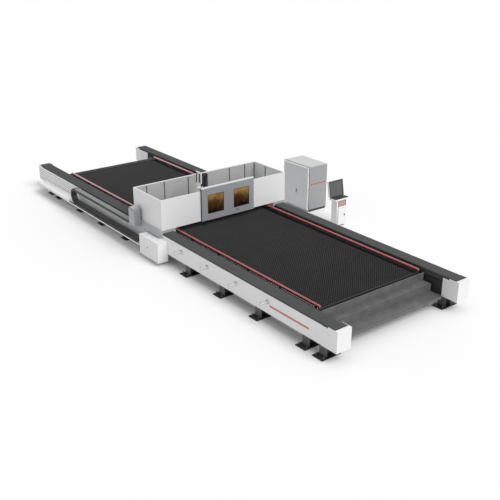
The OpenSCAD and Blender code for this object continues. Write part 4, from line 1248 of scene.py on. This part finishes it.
class CUTTER_OT_rail_trim(bpy.types.Operator):
    """Adds screws and fine dark lines to the side panels and end caps, and a lock to the junction box"""
    bl_idname = "cutter.rail_trim"
    bl_label = "Rail trim"

    def execute(self, context):
        self.panel_screws()
        self.cap_screws()
        # Fine dark lines along the far stretch of the panels and caps
        self.seams()
        bm = bmesh.new()
        x, z = 0.546, 0.525
        add_rod(bm, (x, BOX_LO.y - 0.003, z), (x, BOX_LO.y + 0.008, z), 0.02, 24)
        add_box(bm, (x - 0.003, BOX_LO.y - 0.007, z - 0.014), (x + 0.003, BOX_LO.y - 0.002, z + 0.014))
        trim("junction_lock", bm, "drive_black", "base")
        return {"FINISHED"}

    def panel_screws(self):
        """Rows of screws along both edges of the panels, but none behind the drag chain's tray."""
        first, pitch, rim = -8.7, 0.87, 0.035
        tray_end, tray_top = 1.3, 0.6
        for name, s in (("left", -1), ("right", 1)):
            points = [(first + i * pitch, s * (PANEL_HI.y + 0.0005), z)
                      for z in (PANEL_HI.z - rim, PANEL_LO.z + rim) for i in range(21)]
            if name == "left":
                points = [p for p in points if p[0] >= tray_end or p[2] >= tray_top]
            bolts("panel_screws_" + name, points, (0, s, 0), "base", "panel_white", 0.008, 0.004)

    def cap_screws(self):
        """Four screws on the end face of each cap."""
        for name, sx in (("near", 1), ("far", -1)):
            points = [(sx * (CAPS_HI.x + 0.0005), sy * y, z) for sy in (-1, 1) for y in (2.25, 2.66)
                      for z in (0.44, 1.02)]
            bolts("cap_screws_" + name, points, (sx, 0, 0), "base", "panel_white", 0.009, 0.004)

    def seams(self):
        """Fine lines along the far stretch of the panels and the far caps."""
        half, cap_start, panel_end = 0.008, -8.5, -5.9
        bm = bmesh.new()
        for z in (0.46, 0.55, 0.64, 0.73, 0.82, 0.91):
            for sy in (-1, 1):
                for side, start, end in ((PANEL_HI.y, cap_start + 0.005, panel_end),
                                         (CAPS_HI.y, CAPS_LO.x + 0.02, cap_start - 0.005)):
                    add_box(bm, (start, sy * (side - 0.001), z - half), (end, sy * (side + 0.002), z + half))
        trim("panel_seams", bm, "post_grey", "base", slot="panel_white")


class CUTTER_OT_dampers(bpy.types.Operator):
    """Adds tie rods and air fittings to the damper cylinders"""
    bl_idname = "cutter.dampers"
    bl_label = "Damper cylinders"

    def execute(self, context):
        rods, fittings = bmesh.new(), bmesh.new()
        count, end_half, rod_offset = 4, 0.065, 0.031
        first = BARRELS_LO.x + end_half
        pitch = (BARRELS_HI.x - BARRELS_LO.x - 2 * end_half) / (count - 1)
        z = (BARRELS_LO.z + BARRELS_HI.z) / 2
        y0, y1 = BARRELS_LO.y, BARRELS_HI.y - 0.012
        for i in range(count):
            x = first + i * pitch
            for rod_x in (x - rod_offset, x + rod_offset):
                for rod_z in (z - rod_offset, z + rod_offset):
                    add_rod(rods, (rod_x, y0 - 0.004, rod_z), (rod_x, y1, rod_z), 0.004, 8)
            for y in (y0 + 0.012, y0 + 0.24):
                add_rod(fittings, (x, y, z + 0.03), (x, y, z + 0.058), 0.008, 12)
                add_rod(fittings, (x, y, z + 0.052), (x, y + 0.03, z + 0.058), 0.006, 12)
        trim("damper_tie_rods", rods, "bolt_zinc", "base", slot="cylinder_metal")
        trim("damper_fittings", fittings, "drive_black", "base")
        return {"FINISHED"}


class CUTTER_OT_steps(bpy.types.Operator):
    """Adds nosing strips to the steps at both ends"""
    bl_idname = "cutter.steps"
    bl_label = "Step nosings"

    def execute(self, context):
        tread, drop, proud, inset = 0.029, 0.03, 0.003, 0.01
        for name in ("near", "far"):
            lo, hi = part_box("steps_" + name)
            end = hi.x if name == "near" else -lo.x
            y0, y1 = lo.y + inset, hi.y - inset
            bm = bmesh.new()
            for back, z in ((0.745, 0.95), (0.43, 0.70), (0.0, 0.45)):
                x = end - back
                add_box(bm, (x - tread, y0, z - 0.002), (x + proud, y1, z + proud), 0.001)
                add_box(bm, (x - 0.001, y0, z - drop), (x + proud, y1, z + proud), 0.001)
            mesh = finish_mesh(bm, "step_nosings_" + name)
            place("step_nosings_" + name, mesh if name == "near" else mirrored(mesh, 0), "step_grey", "base")
        return {"FINISHED"}


class CUTTER_OT_cabinet(bpy.types.Operator):
    """Adds seals and white rims of painted highlight to the cabinet's doors, an apron, a lid and a handle
    plate
    """
    bl_idname = "cutter.cabinet"
    bl_label = "Cabinet trim"

    def execute(self, context):
        back = LEAF_HI.y
        face = back - 0.047
        middle, gap = -0.5775, 0.002
        self.leaf_trim("left", middle - gap, -1.342, back, face)
        self.leaf_trim("right", middle + gap, 0.187, back, face)
        lid_front, apron_front, apron_top = 4.655, 4.645, 0.0935
        bm = bmesh.new()
        add_box(bm, (CABINET_LO.x + 0.012, apron_front, 0.03),
                (CABINET_HI.x - 0.012, apron_front + 0.008, apron_top), 0.001)
        trim("cabinet_apron", bm, "leaf_grey", "base", slot="cabinet_grey")
        bm = bmesh.new()
        add_box(bm, (CABINET_LO.x + 0.008, lid_front, CABINET_HI.z - 0.002),
                (CABINET_HI.x - 0.008, CABINET_HI.y, CABINET_HI.z + 0.002), 0.001)
        trim("cabinet_lid", bm, "lid_grey", "base", slot="cabinet_grey")
        handle_x, plate_half = -0.5425, 0.015
        bm = bmesh.new()
        add_box(bm, (handle_x - plate_half, face - 0.002, 0.70),
                (handle_x + plate_half, face + 0.001, 0.85), 0.001)
        trim("cabinet_handle_plate", bm, "post_grey", "leaf_right", slot="drive_black")
        return {"FINISHED"}

    def leaf_trim(self, name, inside, outside, back, face):
        """The dark seal behind a door's outer edge and top, and its white rim, a painted highlight on the
        rounded edge.
        """
        foot, top, edge = 0.097, LEAF_HI.z, 0.045
        s = 1 if outside > inside else -1
        body = "leaf_" + name
        bm = bmesh.new()
        add_box(bm, (outside - s * 0.001, back - 0.03, foot), (outside + s * 0.002, back, top + 0.002))
        add_box(bm, (outside, back - 0.046, top - 0.001), (inside, back, top + 0.002))
        trim("cabinet_seal_" + name, bm, "rubber_black", body, slot="cabinet_grey")
        # Painted highlight: pure white wedges and strips along the door's rounded top and outer edge
        bm = bmesh.new()
        left, right = sorted((outside, inside))
        add_wedge(bm, [(left, face, top - edge), (left, face - 0.022, top - edge), (left, face, top + 0.003)],
                  (right - left, 0, 0))
        if name == "right":
            add_wedge(bm, [(outside - edge, face, foot), (outside - edge, face - 0.022, foot),
                           (outside, face - 0.004, foot), (outside, face, foot)], (0, 0, top - foot))
            add_box(bm, (outside - 0.001, face - 0.004, foot), (outside + 0.002, face + 0.017, top))
        trim("cabinet_rim_" + name, bm, "highlight_white", body, slot="cabinet_grey")


class CUTTER_OT_console(bpy.types.Operator):
    """Adds keys, a red panel frame, seams, a round corner, a screen bezel and a lock to the console"""
    bl_idname = "cutter.console"
    bl_label = "Console trim"

    def execute(self, context):
        front, door_face = 2.146, 2.149
        self.keys(context.scene.cutter_stage.rows)
        self.panel_frame(front)
        self.door_seam(door_face)
        self.corner()
        self.panel_face(front)
        self.bezel()
        self.door_lock(door_face)
        return {"FINISHED"}

    def keys(self, rows):
        """The keyboard's plate and its keys."""
        centre = (KEYS_LO + KEYS_HI) / 2
        mesh = grow("console_keys", key_tree(), {
            "Rows": rows, "Columns": 18, "Key Size": 0.033,
            "Field": (KEYS_HI.x - KEYS_LO.x - 0.0525, KEYS_HI.y - KEYS_LO.y - 0.0555, 0),
            "Centre": (centre.x, centre.y, KEYS_HI.z - 0.003)})
        add_to_mesh(mesh, [(KEYS_LO, (KEYS_HI.x, KEYS_HI.y, KEYS_LO.z + 0.014))], 0.003)
        place("console_keys", mesh, "chain_black", "base", nodes=("console_keyboard",))

    def panel_frame(self, front):
        """The red frame of the small panel, and the groove beside it."""
        low, high, width = (4.406, 0.836), (4.829, 1.054), 0.022
        bm = bmesh.new()
        add_frame(bm, (front - 0.002, *low), (front + 0.003, *high), width, 0, 0.001)
        trim("console_red_frame", bm, "signal_red", "base")
        bm = bmesh.new()
        add_box(bm, (front - 0.002, 4.402, 0.83), (front + 0.0015, 4.405, 1.05))
        trim("console_groove", bm, "post_grey", "base", slot="console_white")

    def door_seam(self, face):
        """The seam along the service door's hinge side."""
        bm = bmesh.new()
        add_box(bm, (face - 0.0005, 4.4105, 0.077), (face + 0.0025, 4.432, 0.823))
        trim("console_door_seam", bm, "post_grey", "service_door", slot="console_white")

    def corner(self):
        """The round corner of the body, in pure white as a painted highlight."""
        x, y, radius = 2.112, 4.404, 0.026
        bm = bmesh.new()
        add_rod(bm, (x, y, 0.075), (x, y, 1.055), radius, 24)
        trim("console_corner", bm, "highlight_white", "base", slot="console_white", smooth=True)

    def panel_face(self, front):
        """The face inside the red frame."""
        bm = bmesh.new()
        add_box(bm, (front - 0.007, 4.422, 0.854), (front - 0.003, 4.813, 1.036), 0.001)
        trim("console_panel_face", bm, "panel_grey", "base", slot="console_white")

    def bezel(self):
        """The screen's bezel, drawn upright and leaned back on the hinge."""
        hinge, offset, width = (1.79, 0, 1.117), (0.0585, 0, -0.014), 0.045
        bm = bmesh.new()
        add_frame(bm, (0.0, 4.262, 0.0), (0.006, 4.977, 0.66), width, 0, 0.002)
        bezel = finish_mesh(bm, "screen_bezel")
        lean = Matrix.Rotation(math.radians(-10), 4, "Y")
        bezel.transform(Matrix.Translation(hinge) @ lean @ Matrix.Translation(offset))
        place("screen_bezel", bezel, "drive_black", "screen")

    def door_lock(self, face):
        """The service door's round lock with its slot."""
        y, z = 4.755, 0.462
        bm = bmesh.new()
        add_rod(bm, (face, y, z), (face + 0.017, y, z), 0.028, 24)
        add_box(bm, (face + 0.016, y - 0.004, z - 0.012), (face + 0.02, y + 0.004, z + 0.012))
        trim("console_lock", bm, "drive_black", "service_door")


class CUTTER_OT_stage(bpy.types.Operator):
    """Sets the floor, the lights, the world and the camera"""
    bl_idname = "cutter.stage"
    bl_label = "Stage"

    def execute(self, context):
        settings = context.scene.cutter_stage
        scene = context.scene
        scene.view_settings.view_transform = "Standard"
        self.floor(settings)
        self.world(scene, settings)
        to_sun = Vector((0.66, 0.10, 0.745))
        sun = bpy.data.lights.new("key", "SUN")
        sun.energy = settings.key
        sun.angle = math.radians(35)
        lamp = bpy.data.objects.new("key", sun)
        scene.collection.objects.link(lamp)
        lamp.rotation_euler = to_sun.to_track_quat("Z", "Y").to_euler()
        camera = bpy.data.cameras.new("camera")
        camera.lens = settings.lens
        camera.sensor_width = 36.0
        camera.clip_end = 500.0
        eye = bpy.data.objects.new("camera", camera)
        scene.collection.objects.link(eye)
        eye.location = settings.camera
        eye.rotation_euler = Euler((math.pi / 2 - settings.elevation, 0, settings.azimuth))
        scene.camera = eye
        return {"FINISHED"}

    def seen(self, nodes, links):
        """A mask that is 1 for the camera, for mirrors and through glass."""
        path = nodes.new("ShaderNodeLightPath")
        mask = path.outputs["Is Camera Ray"]
        for key in ("Is Glossy Ray", "Is Transmission Ray"):
            mask = add_math(nodes, links, "MAXIMUM", mask, path.outputs[key])
        return mask

    def floor(self, settings):
        """A wide floor, paler and slightly glowing where it is seen, so that shadows stay."""
        seen_tone, glow_strength, half_size = 0.91, 0.035, 160.0
        bm = bmesh.new()
        bmesh.ops.create_grid(bm, x_segments=1, y_segments=1, size=half_size)
        floor = bpy.data.objects.new("floor", finish_mesh(bm, "floor"))
        bpy.context.scene.collection.objects.link(floor)
        floor.location.z = -0.002
        look = bpy.data.materials.new("floor")
        look.use_nodes = True
        nodes, links = look.node_tree.nodes, look.node_tree.links
        nodes.clear()
        diffuse = nodes.new("ShaderNodeBsdfDiffuse")
        pale = add_range(nodes, links, self.seen(nodes, links), 0.0, 1.0, settings.floor_color[0], seen_tone)
        links.new(pale, diffuse.inputs["Color"])
        glow = nodes.new("ShaderNodeEmission")
        shine = add_math(nodes, links, "MULTIPLY", self.seen(nodes, links), glow_strength)
        links.new(shine, glow.inputs["Strength"])
        both = nodes.new("ShaderNodeAddShader")
        links.new(diffuse.outputs[0], both.inputs[0])
        links.new(glow.outputs[0], both.inputs[1])
        out = nodes.new("ShaderNodeOutputMaterial")
        links.new(both.outputs[0], out.inputs["Surface"])
        floor.data.materials.append(look)

    def world(self, scene, settings):
        """Plain white light from all round, full white where it is seen."""
        world = bpy.data.worlds.new("studio")
        world.use_nodes = True
        scene.world = world
        nodes, links = world.node_tree.nodes, world.node_tree.links
        background = nodes["Background"]
        background.inputs["Color"].default_value = (1, 1, 1, 1)
        strength = add_range(nodes, links, self.seen(nodes, links), 0.0, 1.0, settings.ambient, 1.0)
        links.new(strength, background.inputs["Strength"])


class CUTTER_PT_panel(bpy.types.Panel):
    """Lists the machine's pieces in the sidebar"""
    bl_idname = "CUTTER_PT_panel"
    bl_label = "Cutting machine"
    bl_space_type = "VIEW_3D"
    bl_region_type = "UI"
    bl_category = "Cutting machine"

    def draw(self, context):
        for operator in OPERATORS:
            self.layout.operator(operator.bl_idname)
        for group in (context.scene.cutter_bed, context.scene.cutter_cover, context.scene.cutter_stage):
            for key in group.bl_rna.properties.keys():
                if key not in ("rna_type", "name"):
                    self.layout.prop(group, key)


OPERATORS = (
    CUTTER_OT_paint, CUTTER_OT_slats, CUTTER_OT_tubes, CUTTER_OT_bellows, CUTTER_OT_drag_chain,
    CUTTER_OT_cross_chain, CUTTER_OT_hose_arch, CUTTER_OT_shell, CUTTER_OT_door, CUTTER_OT_heads,
    CUTTER_OT_rail_trim, CUTTER_OT_dampers, CUTTER_OT_steps, CUTTER_OT_cabinet, CUTTER_OT_console,
    CUTTER_OT_stage,
)
SETTINGS = (BedSettings, CoverSettings, StageSettings)


def register():
    for cls in (*SETTINGS, *OPERATORS, CUTTER_PT_panel):
        bpy.utils.register_class(cls)
    bpy.types.Scene.cutter_bed = PointerProperty(type=BedSettings)
    bpy.types.Scene.cutter_cover = PointerProperty(type=CoverSettings)
    bpy.types.Scene.cutter_stage = PointerProperty(type=StageSettings)


def unregister():
    for key in ("cutter_bed", "cutter_cover", "cutter_stage"):
        delattr(bpy.types.Scene, key)
    for cls in (CUTTER_PT_panel, *reversed(OPERATORS), *reversed(SETTINGS)):
        bpy.utils.unregister_class(cls)


def main():
    register()
    for operator in OPERATORS:
        group, name = operator.bl_idname.split(".")
        getattr(getattr(bpy.ops, group), name)()


if __name__ == "__main__":
    main()
